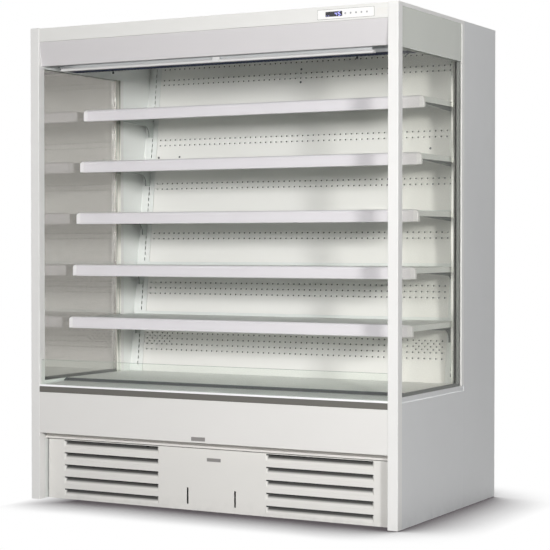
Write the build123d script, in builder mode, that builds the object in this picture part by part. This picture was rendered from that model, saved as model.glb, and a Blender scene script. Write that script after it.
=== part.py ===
from build123d import *
import os
from math import cos, radians, sin, tan

# An open multideck display fridge with its own cooling plant in the base.
# Millimetres. X runs to the right, Z up from the floor, and every outline's
# "y" counts back from the front face of the posts.

# Overall size
width = 1708
depth = 1006
height = 2000
sill_height = 505

# Sheet metal and clearances
sheet = 1.5
thin_sheet = 1.2
seat_gap = 0.3
floor_gap = 3
running_clearance = 0.06
edge_round = 2

# Glazed sides
post_width = 43
post_depth = 38
side_wall = 34
lower_wall = 38
top_rail_height = 14
stile_depth = 23
rear_panel_depth = 351
sill_step = 22
pane = 4
pane_space = 12
pane_inset = 3
edge_seal = 12
cover_profile = 35

# Insulated body
insulation = 50
roof_drop = 2
vent_recess = 26
vent_foot = 24
vent_slot_pitch = 30
vent_slot_width = 8
vent_slot_inset = 197
vent_slot_rows = 6
tub_foot = 260.5
tub_end_wall = 30
tub_front = 22
tub_front_wall = 36
tub_floor = 47
tub_floor_fall = 14
tub_rear_wall = 50
tub_recess = 60
tub_recess_height = 31.5
lip_front = 46
lip_height = 9
drain_y = 250
drain_bore = 14
drain_wall = 3
drain_drop = 22
port_inset_x = 176
port_inset_y = 136
port_bore = 26

# Deck and return air grille
deck_rise = 1
deck_fold = 24
deck_gap = 4.5
deck_slot_length = 28
deck_slot_width = 8
deck_slot_inset = 123
deck_slot_inner_x = 120
deck_slot_y = 342
beam_height = 20
beam_width = 10
grille_depth = 16.7
grille_drop = 9
grille_rise = 2
grille_slot_pitch = 26.6
grille_slot_width = 18
grille_slot_height = 12

# Leaning back wall and shelf supports
lean = 7.1
duct_foot = 257
duct_height = 36
upright_width = 70
upright_face = 50
upright_step = 8
upright_return = 20
upright_sheet = 2
upright_head_gap = 2
slot_width = 4
slot_height = 15
slot_pitch = 25.3
first_slot_rise = 35
panel_fold = 15
panel_recess = 1

# Shelves
shelf_count = 5
slots_over_shelves = 11
lowest_shelf_slot = 8
tray_above_slot = 25.4
shelf_reach = 512
rail_stand = 6
rail_height = 50
rail_depth = 14
rail_lip = 24
rail_wall = 2.2
rail_round = 3
rail_nose = 6
rail_cap = 18
rail_cap_stand = 3
rail_end_round = 12
tray_end_gap = 8
tray_front_fold = 24
tray_side_fold = 22
tray_upstand = 12
tray_rib_height = 14
tray_rib_width = 40
tray_rib_slope = 10
bracket_sheet = 3
bracket_height = 88
bracket_tip = 16
bracket_slope = 22
bracket_leg = 34
bracket_arch = 40
bracket_hole = 3
bracket_hole_inset = 11
hook_neck = 8
hook_drop = 6
hook_thickness = 3.6
hook_root = 2
hook_spacing = 2

# Canopy
fascia_height = 59
fascia_inset = 3
fascia_return = 15
cover_height = 101
cover_top_y = 6
cover_foot_y = 21
cover_bulge = 3
cover_return = 17
cover_lip = 10
closure_drop = 8
closure_front = 40
closure_gap = 14
nozzle_front = 168
nozzle_depth = 118
nozzle_rise = 1
nozzle_lip = 5
honeycomb_height = 15
lamp_depth = 38
lamp_height = 18
lamp_chamfer = 9
lamp_slant = 25
lamp_end_gap = 20

# Controller
controller_inset = 59
controller_drop = 32.5
bezel_width = 238
bezel_height = 35
bezel_sheet = 2
bezel_round = 3
controller_body = 30
controller_margin = 4
display_offset = -50
display_width = 72
display_height = 20
display_recess = 0.8
button_count = 5
button_offset = -1
button_pitch = 22.8
button_radius = 4.2
button_length = 8
button_proud = 0.8
button_round = 0.4
button_pocket = 10
button_clearance = 0.4

# Night blind
blind_axis_y = 84
blind_axis_drop = 58
tube_radius = 22
coil_radius = 27.6
tube_end_gap = 76
spindle_radius = 5
spindle_reach = 11
bracket_stand = 6
blind_bracket_sheet = 3
blind_bracket_radius = 15
blind_bracket_top = 44
blind_bracket_flange = 22
blind_sheet = 0.8
blind_margin = 15
bar_margin = 5
bar_drop = 23
bar_height = 12
bar_depth = 22
bar_chamfer = 5
tab_x = 35
tab_width = 33
tab_height = 20
tab_thickness = 4

# Front below the opening
riser_height = 91
riser_end_gap = 5
riser_glass_y = 8
riser_glass_depth = 6
riser_arris = 0.75
channel_depth = 5
channel_floor = 2.5
apron_wall = 2
apron_front = 2
apron_rise = 3
apron_rear = 172
front_wall_rise = 2.5
bumper_height = 24.4
bumper_front = 0.5
recess_height = 26.5
front_panel_return = 10

# Plinth with pressed louvres
plinth_front = 60
plinth_depth = 19.7
plinth_gap = 4.5
plinth_end_gap = 5
louvre_margin = 80
louvre_inner = 252
louvre_count = 5
louvre_foot = 44
louvre_rise = 31
louvre_slot = 6
louvre_press = 15
louvre_taper = 16
hand_slot_x = 111.5
hand_slot_width = 8
hand_slot_length = 68
hand_slot_z = 61

# Chassis
chassis_end_gap = 10
chassis_foot = 22
rail_section = 40
cross_section = 20
cross_x = 255
front_rail_y = 80
rear_rail_gap = 16
chassis_sheet = 3
post_section = 30
post_inset = 20
foot_inset = 46
foot_pad_radius = 23
foot_pad_height = 9
foot_pad_edge = 3
foot_pad_neck = 11.5
foot_stud_radius = 6
foot_nut_radius = 9.6
foot_nut_height = 5.4
foot_y = 105

# Cooling plant
evaporator_end_gap = 96
evaporator_gap = 21.25
evaporator_depth = 250
fin_pitch = 60
fin_sheet = 2
fin_stand = 8
tube_run_radius = 5
tube_rows = 3
return_bend = 42
return_reach = 20
fan_plate_y = 208
fan_plate_rise = 4.5
fan_plate_angle = 52
fan_plate_gap = 1.55
fan_plate_margin = 18
fan_ring_wall = 3
fan_ring_depth = 11
fan_arm_width = 4.5
fan_arm_gap = 3
fan_x = 380
fan_tip_clearance = 4
fan_hub_radius = 24
fan_hub_length = 22
shaft_radius = 4
fan_blade_count = 5
blade_chord = 40
blade_sheet = 1.6
blade_root_sink = 2
root_pitch = 42
tip_pitch = 24
motor_radius = 30
motor_length = 34
machine_floor = 66
compressor_inset = 326
compressor_y = 470
compressor_radius = 82
compressor_dome = 37
compressor_foot = 84
compressor_gap = 16.5
compressor_seam = 96
seam_flange = 3
foot_plate = 3
foot_plate_length = 180
foot_plate_width = 140
terminal_inset = 16
terminal_reach = 25
terminal_width = 56
terminal_height = 56
mount_radius = 14
mount_length = 152
mount_width = 107
condenser_inset = 86
condenser_width = 460
condenser_front = 112
condenser_depth = 56
condenser_gap = 20.5
condenser_fin_pitch = 30
shroud_margin = 11
shroud_depth = 39
condenser_arm_gap = 11
condenser_arm_reach = 28
tray_gap_left = 230
tray_gap_right = 130
tray_y = 335
tray_width = 300
tray_height = 42
tray_round = 14
lane_gap = 25
pipe_spacing = 41
pipe_bend = 20
suction_radius = 7
pipe_low = 94
pipe_high_drop = 82
pipe_lane = 42
box_inset = 156
box_length = 200
box_width = 110
box_height = 120
box_round = 3
box_lid = 6
gland_offset = 50
gland_z = 130
gland_radius = 10
gland_nut = 14

# Places worked out from the sizes above
front = -depth / 2
half = width / 2
post_inner = half - post_width
wall_inner = half - side_wall
lower_inner = half - lower_wall
rear_panel_front = depth - rear_panel_depth
stile_front = rear_panel_front - stile_depth
top_rail_foot = height - top_rail_height
pane_outer = half - pane_inset
pane_inner = pane_outer - 2 * pane - pane_space
roof_top = height - roof_drop
roof_foot = roof_top - insulation
wall_front = depth - insulation
ceiling_height = roof_foot - duct_height
fascia_foot = height - fascia_height
cover_foot = fascia_foot - cover_height
closure_foot = cover_foot - closure_drop
nozzle_foot = closure_foot + nozzle_rise
nozzle_rear = nozzle_front + nozzle_depth
deck_top = sill_height + deck_rise
deck_foot = deck_top - deck_fold
grille_front = apron_rear + sheet
deck_front = grille_front + grille_depth + seat_gap
rim_height = deck_foot - seat_gap
bumper_top = rim_height + front_wall_rise
bumper_foot = bumper_top - bumper_height
front_panel_foot = tub_foot + recess_height
tub_cavity = lower_inner - tub_end_wall
tub_inner_front = tub_front + tub_front_wall
tub_inner_rear = wall_front - tub_rear_wall
wall_foot_y = wall_front - duct_foot
deck_rear = wall_foot_y - deck_gap
lean_run = tan(radians(lean))
lean_sin = sin(radians(lean))
lean_cos = cos(radians(lean))
upright_inner = wall_inner - upright_width
upright_depth = upright_return + upright_sheet
upright_foot = -(deck_fold - upright_depth * lean_sin) / lean_cos
upright_top = (ceiling_height - upright_head_gap - deck_top) / lean_cos
slot_x = upright_inner + upright_face / 2
first_slot = first_slot_rise / lean_cos
slot_count = 1 + int((upright_top - first_slot - slot_height / 2) / slot_pitch)
top_shelf_slot = slot_count - slots_over_shelves
slots_per_shelf = (top_shelf_slot - lowest_shelf_slot) // (shelf_count - 1)
tray_half = wall_inner - tray_end_gap
rail_end = tray_half + rail_cap_stand
rail_half = rail_end - rail_cap
controller_x = post_inner - controller_inset - bezel_width / 2
controller_z = height - controller_drop
blind_axis_z = roof_foot - blind_axis_drop
tube_half = post_inner - tube_end_gap
blind_half = tube_half - blind_margin
bar_half = tube_half - bar_margin
bar_foot = cover_foot - bar_drop
lamp_half = wall_inner - lamp_end_gap
riser_half = post_inner - riser_end_gap
riser_top = deck_top + riser_height
plinth_half = post_inner - plinth_end_gap
plinth_top = tub_foot - plinth_gap
louvre_width = plinth_half - louvre_margin - louvre_inner
louvre_x = louvre_inner + louvre_width / 2
louvre_top = plinth_top - 2 * sheet
louvre_pitch = (louvre_top - louvre_foot - floor_gap) / (louvre_count - 1)
chassis_half = lower_inner - chassis_end_gap
rail_top = chassis_foot + rail_section
rear_rail_y = wall_front - rear_rail_gap - rail_section
evaporator_half = tub_cavity - evaporator_end_gap
evaporator_top = rim_height - beam_height
fan_plate_z = tub_foot + tub_floor + fan_plate_rise
fan_plate_length = (evaporator_top - fan_plate_gap - fan_plate_z) / sin(radians(fan_plate_angle))
fan_bore = fan_plate_length / 2 - fan_plate_margin
fan_plate_rear = fan_plate_y + fan_plate_length * cos(radians(fan_plate_angle))
evaporator_front = fan_plate_rear + evaporator_gap
evaporator_rear = evaporator_front + evaporator_depth
compressor_x = compressor_inset - chassis_half
compressor_height = tub_foot - compressor_foot - compressor_gap
condenser_top = tub_foot - condenser_gap
condenser_end = chassis_half - condenser_inset
condenser_start = condenser_end - condenser_width
condenser_x = (condenser_start + condenser_end) / 2
condenser_rear = condenser_front + condenser_depth
condenser_fan_y = condenser_rear + shroud_depth - fan_hub_length / 2
condenser_fan_z = (machine_floor + condenser_top) / 2
condenser_bore = condenser_fan_z - machine_floor - shroud_margin
tray_start = compressor_x + tray_gap_left
tray_end = condenser_start - tray_gap_right
drain_x = (tray_start + tray_end) / 2
port_x = port_inset_x - tub_cavity
port_y = tub_inner_rear - port_inset_y
pipe_high = compressor_foot + compressor_height - pipe_high_drop
box_x = chassis_half - box_inset
box_rear = depth - vent_recess - 2 * sheet - seat_gap
gland_x = box_x + gland_offset


def side_plane(x):
    """The plane across the cabinet at x, with (y, z) outlines, facing right."""
    return Plane(origin=(x, front, 0), x_dir=(0, 1, 0), z_dir=(1, 0, 0))


def face_plane(y):
    """The upright plane at y behind the front, with (x, z) outlines, facing the customer."""
    return Plane(origin=(0, front + y, 0), x_dir=(1, 0, 0), z_dir=(0, -1, 0))


def level(z):
    """The level plane at height z, with (x, y) outlines, facing up."""
    return Plane(origin=(0, front, z))


def leaning_side(x):
    """Across the cabinet at x, with (behind the leaning wall, up the wall) outlines."""
    foot = (x, front + wall_foot_y, deck_top)
    return Plane(origin=foot, x_dir=(0, lean_cos, -lean_sin), z_dir=(1, 0, 0))


def leaning_face():
    """The face of the leaning wall, with (x, up the wall) outlines, facing the customer."""
    foot = (0, front + wall_foot_y, deck_top)
    return Plane(origin=foot, x_dir=(1, 0, 0), z_dir=(0, -lean_cos, lean_sin))


def leaning_section(up):
    """Square to the leaning wall, at a length up it, with (x, behind the wall) outlines."""
    foot = (0, front + wall_foot_y + up * lean_sin, deck_top + up * lean_cos)
    return Plane(origin=foot, x_dir=(1, 0, 0), z_dir=(0, lean_sin, lean_cos))


def wall_y(z):
    """How far the leaning wall's face is behind the front at height z."""
    return wall_foot_y + (z - deck_top) * lean_run


def slot_up(index):
    """Where a slot's centre is, measured up the upright."""
    return first_slot + index * slot_pitch


def tub_floor_z(y):
    """The height of the tub's floor at y, behind the drain."""
    return tub_foot + tub_floor + tub_floor_fall * (y - drain_y) / (tub_inner_rear - drain_y)


evaporator_foot = tub_floor_z(evaporator_rear) + seat_gap


def shelf_slot(shelf):
    """The slot that a shelf's upper hooks use."""
    return top_shelf_slot - slots_per_shelf * shelf


def tray_top(shelf):
    """The height of a shelf's top face."""
    return deck_top + slot_up(shelf_slot(shelf)) * lean_cos + tray_above_slot


def shelf_front(shelf):
    """How far a shelf's price rail is behind the front."""
    return wall_y(tray_top(shelf)) - shelf_reach


def closed_outline(plane, points):
    """The face inside a closed outline on a plane."""
    with BuildSketch(plane) as section:
        with BuildLine():
            Polyline(points, close=True)
        make_face()
    return section.sketch


def folded_outline(plane, points, thickness=sheet, side=Side.RIGHT):
    """The section of a sheet that is folded along a line of points."""
    with BuildSketch(plane) as section:
        with BuildLine():
            Polyline(points)
            offset(amount=thickness, side=side, kind=Kind.INTERSECTION)
        make_face()
    return section.sketch


def extrusion(points, low, high, mode=Mode.ADD):
    """Carry a closed (y, z) outline from x = low to x = high in the open part."""
    extrude(closed_outline(side_plane(low), points), amount=high - low, mode=mode)


def folding(points, low, high, thickness=sheet, side=Side.RIGHT, mode=Mode.ADD):
    """Carry a folded (y, z) sheet section from x = low to x = high in the open part."""
    section = folded_outline(side_plane(low), points, thickness, side)
    extrude(section, amount=high - low, mode=mode)


def block(x_span, y_span, z_span, mode=Mode.ADD):
    """Fill the space between three pairs of limits in the open part."""
    with BuildSketch(level(z_span[0])) as foot:
        with Locations((sum(x_span) / 2, sum(y_span) / 2)):
            Rectangle(x_span[1] - x_span[0], y_span[1] - y_span[0])
    extrude(foot.sketch, amount=z_span[1] - z_span[0], mode=mode)


def mirrored(right, label):
    """The left-hand twin of a right-hand piece."""
    with BuildPart() as left:
        mirror(right, about=Plane.YZ)
    left.part.label = label
    return left.part


def side_frame():
    """Front post, top rail and rear stile of one glazed side, welded into one frame."""
    with BuildPart() as frame:
        with BuildSketch(level(floor_gap)):
            with Locations((half - post_width / 2, post_depth / 2)):
                Rectangle(post_width, post_depth)
        extrude(amount=height - floor_gap)
        fillet(frame.edges().filter_by(Axis.Z).group_by(Axis.Y)[0], edge_round)
        with BuildSketch(side_plane(wall_inner)):
            with Locations(((post_depth + rear_panel_front) / 2, height - top_rail_height / 2)):
                Rectangle(rear_panel_front - post_depth, top_rail_height)
            with Locations((rear_panel_front - stile_depth / 2, (sill_height + top_rail_foot) / 2)):
                Rectangle(stile_depth, top_rail_foot - sill_height)
        extrude(amount=side_wall)
    frame.part.label = "right_side_frame"
    return frame.part


def side_glass():
    """The outer and inner panes of one side's sealed unit."""
    with BuildPart() as glass:
        for face in (pane_outer - pane, pane_inner):
            block((face, face + pane), (post_depth, stile_front), (sill_height, top_rail_foot))
    glass.part.label = "right_side_glass"
    return glass.part


def side_glass_seals():
    """Edge spacers between the panes, and the dark cover profile down each rear edge."""
    opening = stile_front - post_depth
    rise = top_rail_foot - sill_height
    with BuildPart() as seals:
        with BuildSketch(side_plane(pane_inner + pane)):
            with Locations((post_depth + opening / 2, sill_height + rise / 2)):
                Rectangle(opening, rise)
                Rectangle(opening - 2 * edge_seal, rise - 2 * edge_seal, mode=Mode.SUBTRACT)
        extrude(amount=pane_space)
        block((wall_inner, pane_inner), (stile_front - cover_profile, stile_front),
              (sill_height, closure_foot))
        mirror(about=Plane.YZ)
    seals.part.label = "side_glass_seals"
    return seals.part


def lower_side_panel():
    """Insulated panel under the side glass, stepped in at the top for the pane."""
    outline = [
        (lower_inner, floor_gap),
        (half, floor_gap),
        (half, sill_height - sill_step),
        (half - pane_inset, sill_height - sill_step + pane_inset),
        (half - pane_inset, sill_height),
        (lower_inner, sill_height),
    ]
    with BuildPart() as panel:
        extrude(closed_outline(face_plane(post_depth), outline), amount=post_depth - rear_panel_front)
    panel.part.label = "right_lower_panel"
    return panel.part


def rear_side_panel():
    """Insulated panel behind the glass, with rounded outer corners."""
    with BuildPart() as panel:
        block((wall_inner, half), (rear_panel_front, depth), (floor_gap, height))
        fillet(panel.edges().filter_by(Axis.Z).group_by(Axis.X)[-1], edge_round)
    panel.part.label = "right_rear_panel"
    return panel.part


def rear_wall():
    """Insulated back, with the slotted vent sheet of the machine bay below it."""
    outline = [
        (wall_front, tub_foot),
        (wall_front, roof_foot),
        (depth, roof_foot),
        (depth, tub_foot),
        (depth - vent_recess + sheet, tub_foot),
        (depth - vent_recess + sheet, vent_foot),
        (depth - vent_recess, vent_foot),
        (depth - vent_recess, tub_foot),
    ]
    vent_middle = (vent_foot + tub_foot) / 2
    with BuildPart() as wall:
        extrusion(outline, -wall_inner, wall_inner)
        with BuildSketch(face_plane(depth - vent_recess - sheet)):
            with Locations((0, vent_middle)):
                with GridLocations(wall_inner, vent_slot_pitch, 2, vent_slot_rows):
                    SlotOverall(wall_inner - 2 * vent_slot_inset, vent_slot_width)
            with Locations((gland_x, gland_z)):
                Circle(gland_radius + seat_gap)
        extrude(amount=-3 * sheet, mode=Mode.SUBTRACT)
    wall.part.label = "rear_wall"
    return wall.part


def roof_panel():
    """Insulated roof between the top rails."""
    with BuildPart() as roof:
        block((-wall_inner, wall_inner), (post_depth, depth), (roof_foot, roof_top))
        chamfer(roof.edges().filter_by(Axis.X).group_by(Axis.Z)[-1].group_by(Axis.Y)[0], edge_round)
    roof.part.label = "roof_panel"
    return roof.part


def base_tub():
    """Insulated tub under the deck, with its front lip, deck beams, drain and pipe port."""
    floor_edge = tub_foot + tub_floor + tub_floor_fall
    shell = [
        (tub_front, bumper_top),
        (tub_front, tub_foot + tub_recess_height),
        (tub_recess, tub_foot + tub_recess_height),
        (tub_recess, tub_foot + lip_height),
        (lip_front, tub_foot + lip_height),
        (lip_front, tub_foot),
        (wall_front, tub_foot),
        (wall_front, rim_height),
        (tub_inner_front, rim_height),
        (tub_inner_front, bumper_top),
    ]
    cavity = [
        (tub_inner_front, floor_edge),
        (drain_y, tub_foot + tub_floor),
        (tub_inner_rear, floor_edge),
        (tub_inner_rear, deck_top),
        (tub_inner_front, deck_top),
    ]
    beams = (
        (apron_rear - 2 * apron_wall, grille_front + apron_wall * 2),
        (deck_front - 2 * apron_wall, deck_front + beam_width),
        (deck_rear - beam_width, wall_foot_y + upright_depth + beam_width),
    )
    with BuildPart() as tub:
        extrusion(shell, -lower_inner, lower_inner)
        extrusion(cavity, -tub_cavity, tub_cavity, mode=Mode.SUBTRACT)
        for x in (-lower_inner, post_inner - seat_gap):
            block((x, x + lower_inner - post_inner + seat_gap), (tub_front, post_depth + seat_gap),
                  (tub_foot, bumper_top), mode=Mode.SUBTRACT)
        for beam in beams:
            block((-tub_cavity, tub_cavity), beam, (rim_height - beam_height, rim_height))
        with BuildSketch(level(tub_foot - drain_drop)):
            with Locations((drain_x, drain_y)):
                Circle(drain_bore + drain_wall)
        extrude(amount=drain_drop + tub_floor / 2)
        with BuildSketch(level(tub_foot - drain_drop)):
            with Locations((drain_x, drain_y)):
                Circle(drain_bore)
            with Locations((port_x, port_y)):
                Circle(port_bore)
        extrude(amount=drain_drop + tub_floor + 2 * tub_floor_fall, mode=Mode.SUBTRACT)
    tub.part.label = "base_tub"
    return tub.part


def base_frame():
    """Welded chassis: channel rails, cross members, machine floor and posts up to the tub."""
    post_rows = rear_rail_y + rail_section - front_rail_y - post_section
    with BuildPart() as chassis:
        for y, toward in ((front_rail_y, 1), (rear_rail_y + rail_section, -1)):
            channel = [
                (y + toward * rail_section, rail_top),
                (y, rail_top),
                (y, chassis_foot),
                (y + toward * rail_section, chassis_foot),
            ]
            turn = Side.LEFT if toward > 0 else Side.RIGHT
            folding(channel, -chassis_half, chassis_half, chassis_sheet, turn)
        between = (front_rail_y + chassis_sheet, rear_rail_y + rail_section - chassis_sheet)
        for x in (-chassis_half, -cross_x, cross_x - cross_section, chassis_half - cross_section):
            block((x, x + cross_section), between, (chassis_foot, rail_top))
        block((-chassis_half, chassis_half), (front_rail_y, rear_rail_y + rail_section),
              (rail_top, machine_floor - seat_gap))
        with BuildSketch(level(machine_floor - seat_gap)):
            with Locations((0, (front_rail_y + rear_rail_y + rail_section) / 2)):
                with GridLocations(2 * (chassis_half - post_inset), post_rows, 2, 2):
                    Rectangle(post_section, post_section)
        extrude(amount=tub_foot - machine_floor + seat_gap)
    chassis.part.label = "base_frame"
    return chassis.part


def levelling_foot():
    """One turned screw foot with its pad, lock nut and stud."""
    nut_top = foot_pad_height + foot_nut_height
    profile = [
        (0, 0),
        (foot_pad_radius, 0),
        (foot_pad_radius, foot_pad_edge),
        (foot_pad_neck, foot_pad_height),
        (foot_nut_radius, foot_pad_height),
        (foot_nut_radius, nut_top),
        (foot_stud_radius, nut_top),
        (foot_stud_radius, chassis_foot),
        (0, chassis_foot),
    ]
    with BuildPart() as foot:
        with BuildSketch(Plane.XZ):
            with BuildLine():
                Polyline(profile, close=True)
            make_face()
        revolve(axis=Axis.Z)
    return foot.part


def levelling_feet():
    """Six screw feet, locked by their nuts once the cabinet stands level."""
    foot_x = chassis_half - foot_inset
    rows = (foot_y, rear_rail_y + rail_section / 2)
    with BuildPart() as feet:
        with Locations(*[(x, front + y, 0) for x in (-foot_x, 0, foot_x) for y in rows]):
            add(levelling_foot())
    feet.part.label = "levelling_feet"
    return feet.part


def canopy_fascia():
    """Folded top fascia between the posts, with a window for the controller."""
    fold = [
        (post_depth, roof_top),
        (fascia_inset, roof_top),
        (fascia_inset, fascia_foot),
        (fascia_inset + fascia_return, fascia_foot),
    ]
    with BuildPart() as fascia:
        folding(fold, -post_inner, post_inner, side=Side.LEFT)
        with BuildSketch(face_plane(0)):
            with Locations((controller_x, controller_z)):
                Rectangle(bezel_width - 2 * controller_margin + 2 * seat_gap,
                          bezel_height - 2 * controller_margin + 2 * seat_gap)
        extrude(amount=-post_depth / 2, mode=Mode.SUBTRACT)
    fascia.part.label = "canopy_fascia"
    return fascia.part


def canopy_cover():
    """Curved lower cover of the canopy, turned in below to hide the night blind."""
    top = fascia_foot - 2 * seat_gap
    middle = ((cover_top_y + cover_foot_y) / 2 - cover_bulge, (top + cover_foot) / 2)
    with BuildPart() as cover:
        with BuildSketch(side_plane(-post_inner)):
            with BuildLine():
                face = ThreePointArc((cover_top_y, top), middle, (cover_foot_y, cover_foot))
                Polyline(face @ 1, (cover_foot_y + cover_return, cover_foot),
                         (cover_foot_y + cover_return, cover_foot + cover_lip))
                offset(amount=sheet, side=Side.LEFT, kind=Kind.INTERSECTION)
            make_face()
        extrude(amount=2 * post_inner)
    cover.part.label = "canopy_cover"
    return cover.part


def ceiling_duct():
    """Sheet duct over the shelves that carries cold air to the outlet nozzle."""
    inner = wall_inner - sheet
    rear = wall_y(ceiling_height) - 2 * sheet
    closure_rear = wall_y(closure_foot) - closure_gap
    cheek = [
        (closure_front, closure_foot),
        (closure_rear, closure_foot),
        (closure_rear, roof_foot),
        (closure_front, roof_foot),
    ]
    nozzle = [
        (nozzle_front + nozzle_lip, nozzle_foot),
        (nozzle_front, nozzle_foot),
        (nozzle_front, roof_foot),
    ]
    ceiling = [
        (nozzle_rear - nozzle_lip, nozzle_foot),
        (nozzle_rear, nozzle_foot),
        (nozzle_rear, ceiling_height),
        (rear, ceiling_height),
    ]
    with BuildPart() as duct:
        extrusion(cheek, inner, wall_inner)
        extrusion(cheek, -wall_inner, -inner)
        folding(nozzle, -inner, inner, side=Side.RIGHT)
        folding(ceiling, -inner, inner, side=Side.LEFT)
    duct.part.label = "ceiling_duct"
    return duct.part


def air_outlet_honeycomb():
    """The flow straightener that lies on the nozzle's lips."""
    inner = wall_inner - sheet - seat_gap
    seat = nozzle_foot + sheet + seat_gap
    with BuildPart() as comb:
        block((-inner, inner), (nozzle_front + sheet + seat_gap, nozzle_rear - sheet - seat_gap),
              (seat, seat + honeycomb_height))
    comb.part.label = "air_outlet_honeycomb"
    return comb.part


def canopy_lamp():
    """LED lamp on the front of the nozzle, with its slanting diffuser."""
    outline = [
        (nozzle_front, nozzle_foot),
        (nozzle_front, nozzle_foot + lamp_height),
        (nozzle_front - lamp_depth, nozzle_foot + lamp_height),
        (nozzle_front - lamp_depth, nozzle_foot + lamp_chamfer),
        (nozzle_front - lamp_depth + lamp_slant, nozzle_foot),
    ]
    with BuildPart() as lamp:
        extrusion(outline, -lamp_half, lamp_half)
    lamp.part.label = "canopy_lamp"
    return lamp.part


def button_places():
    """The centres of the controller's buttons."""
    first = controller_x + button_offset
    return [(first + i * button_pitch, controller_z) for i in range(button_count)]


def controller_bezel():
    """Controller housing with a raised border plate, a sunk display and button holes."""
    plate_front = fascia_inset - bezel_sheet
    with BuildPart() as bezel:
        with BuildSketch(face_plane(fascia_inset)):
            with Locations((controller_x, controller_z)):
                RectangleRounded(bezel_width, bezel_height, bezel_round)
        extrude(amount=bezel_sheet)
        with BuildSketch(face_plane(fascia_inset)):
            with Locations((controller_x, controller_z)):
                Rectangle(bezel_width - 2 * controller_margin, bezel_height - 2 * controller_margin)
        extrude(amount=-controller_body)
        with BuildSketch(face_plane(plate_front)):
            with Locations((controller_x + display_offset, controller_z)):
                Rectangle(display_width, display_height)
        extrude(amount=-display_recess, mode=Mode.SUBTRACT)
        with BuildSketch(face_plane(plate_front)):
            with Locations(*button_places()):
                Circle(button_radius + button_clearance)
        extrude(amount=-button_pocket, mode=Mode.SUBTRACT)
    bezel.part.label = "controller_bezel"
    return bezel.part


def button(number):
    """One round push button, with a softly domed face."""
    plate_front = fascia_inset - bezel_sheet
    with BuildPart() as cap:
        with BuildSketch(face_plane(plate_front - button_proud)):
            with Locations(button_places()[number]):
                Circle(button_radius)
        extrude(amount=-button_length)
        fillet(cap.edges().filter_by(GeomType.CIRCLE).group_by(Axis.Y)[0], button_round)
    cap.part.label = f"button_{number + 1}"
    return cap.part


def blind_brackets():
    """The pair of plates under the roof that the roller's spindles turn in."""
    plate = tube_half + bracket_stand
    with BuildPart() as brackets:
        with BuildSketch(side_plane(plate)):
            with BuildLine():
                top = blind_bracket_top / 2
                Polyline((blind_axis_y - top, roof_foot), (blind_axis_y - blind_bracket_radius, blind_axis_z),
                         (blind_axis_y + blind_bracket_radius, blind_axis_z), (blind_axis_y + top, roof_foot),
                         close=True)
            make_face()
            with Locations((blind_axis_y, blind_axis_z)):
                Circle(blind_bracket_radius)
                Circle(spindle_radius + running_clearance, mode=Mode.SUBTRACT)
        extrude(amount=blind_bracket_sheet)
        block((plate, plate + blind_bracket_flange), (blind_axis_y - top, blind_axis_y + top),
              (roof_foot - blind_bracket_sheet, roof_foot))
        mirror(about=Plane.YZ)
    brackets.part.label = "blind_brackets"
    return brackets.part


def blind_roller():
    """Roller tube with its spindles, and the turns of blind wound on it."""
    end = tube_half + spindle_reach
    with BuildPart() as roller:
        with BuildSketch(side_plane(-tube_half)):
            with Locations((blind_axis_y, blind_axis_z)):
                Circle(tube_radius)
        extrude(amount=2 * tube_half)
        with BuildSketch(side_plane(-end)):
            with Locations((blind_axis_y, blind_axis_z)):
                Circle(spindle_radius)
        extrude(amount=2 * end)
        with BuildSketch(side_plane(-blind_half)):
            with Locations((blind_axis_y, blind_axis_z)):
                Circle(coil_radius)
        extrude(amount=2 * blind_half)
    roller.part.label = "blind_roller"
    return roller.part


def blind_fabric():
    """The short stretch of blind between the roller and the pull bar."""
    back_face = blind_axis_y - coil_radius - seat_gap
    with BuildPart() as blind:
        block((-blind_half, blind_half), (back_face - blind_sheet, back_face),
              (bar_foot + bar_height + seat_gap, blind_axis_z))
    blind.part.label = "blind_fabric"
    return blind.part


def blind_pull_bar():
    """Extruded pull bar along the blind's lower edge, with a finger tab."""
    middle = blind_axis_y - coil_radius - seat_gap - blind_sheet / 2
    bar_front = middle - bar_depth / 2
    bar_rear = middle + bar_depth / 2
    top = bar_foot + bar_height
    outline = [
        (bar_front, bar_foot),
        (bar_rear, bar_foot),
        (bar_rear, top - bar_chamfer),
        (bar_rear - bar_chamfer, top),
        (bar_front + bar_chamfer, top),
        (bar_front, top - bar_chamfer),
    ]
    with BuildPart() as bar:
        extrusion(outline, -bar_half, bar_half)
        with BuildSketch(face_plane(bar_front)):
            with Locations((tab_x, bar_foot + tab_height / 2)):
                RectangleRounded(tab_width, tab_height, tab_thickness)
        extrude(amount=tab_thickness)
    bar.part.label = "blind_pull_bar"
    return bar.part


def uprights():
    """Leaning slotted channels at both ends of the back wall."""
    face = upright_inner + upright_face
    closing = wall_inner - seat_gap
    outline = [
        (upright_inner, 0),
        (face, 0),
        (face, upright_step),
        (closing, upright_step),
        (closing, upright_depth),
        (closing - upright_sheet, upright_depth),
        (closing - upright_sheet, upright_step + upright_sheet),
        (face - upright_sheet, upright_step + upright_sheet),
        (face - upright_sheet, upright_sheet),
        (upright_inner + upright_sheet, upright_sheet),
        (upright_inner + upright_sheet, upright_return),
        (upright_inner, upright_return),
    ]
    with BuildPart() as pair:
        section = closed_outline(leaning_section(upright_foot), outline)
        extrude(section, amount=upright_top - upright_foot)
        with BuildSketch(leaning_face()):
            with Locations(*[(slot_x, slot_up(i)) for i in range(slot_count)]):
                Rectangle(slot_width, slot_height)
        extrude(amount=-2 * upright_sheet, mode=Mode.SUBTRACT)
        mirror(about=Plane.YZ)
    pair.part.label = "uprights"
    return pair.part


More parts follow.
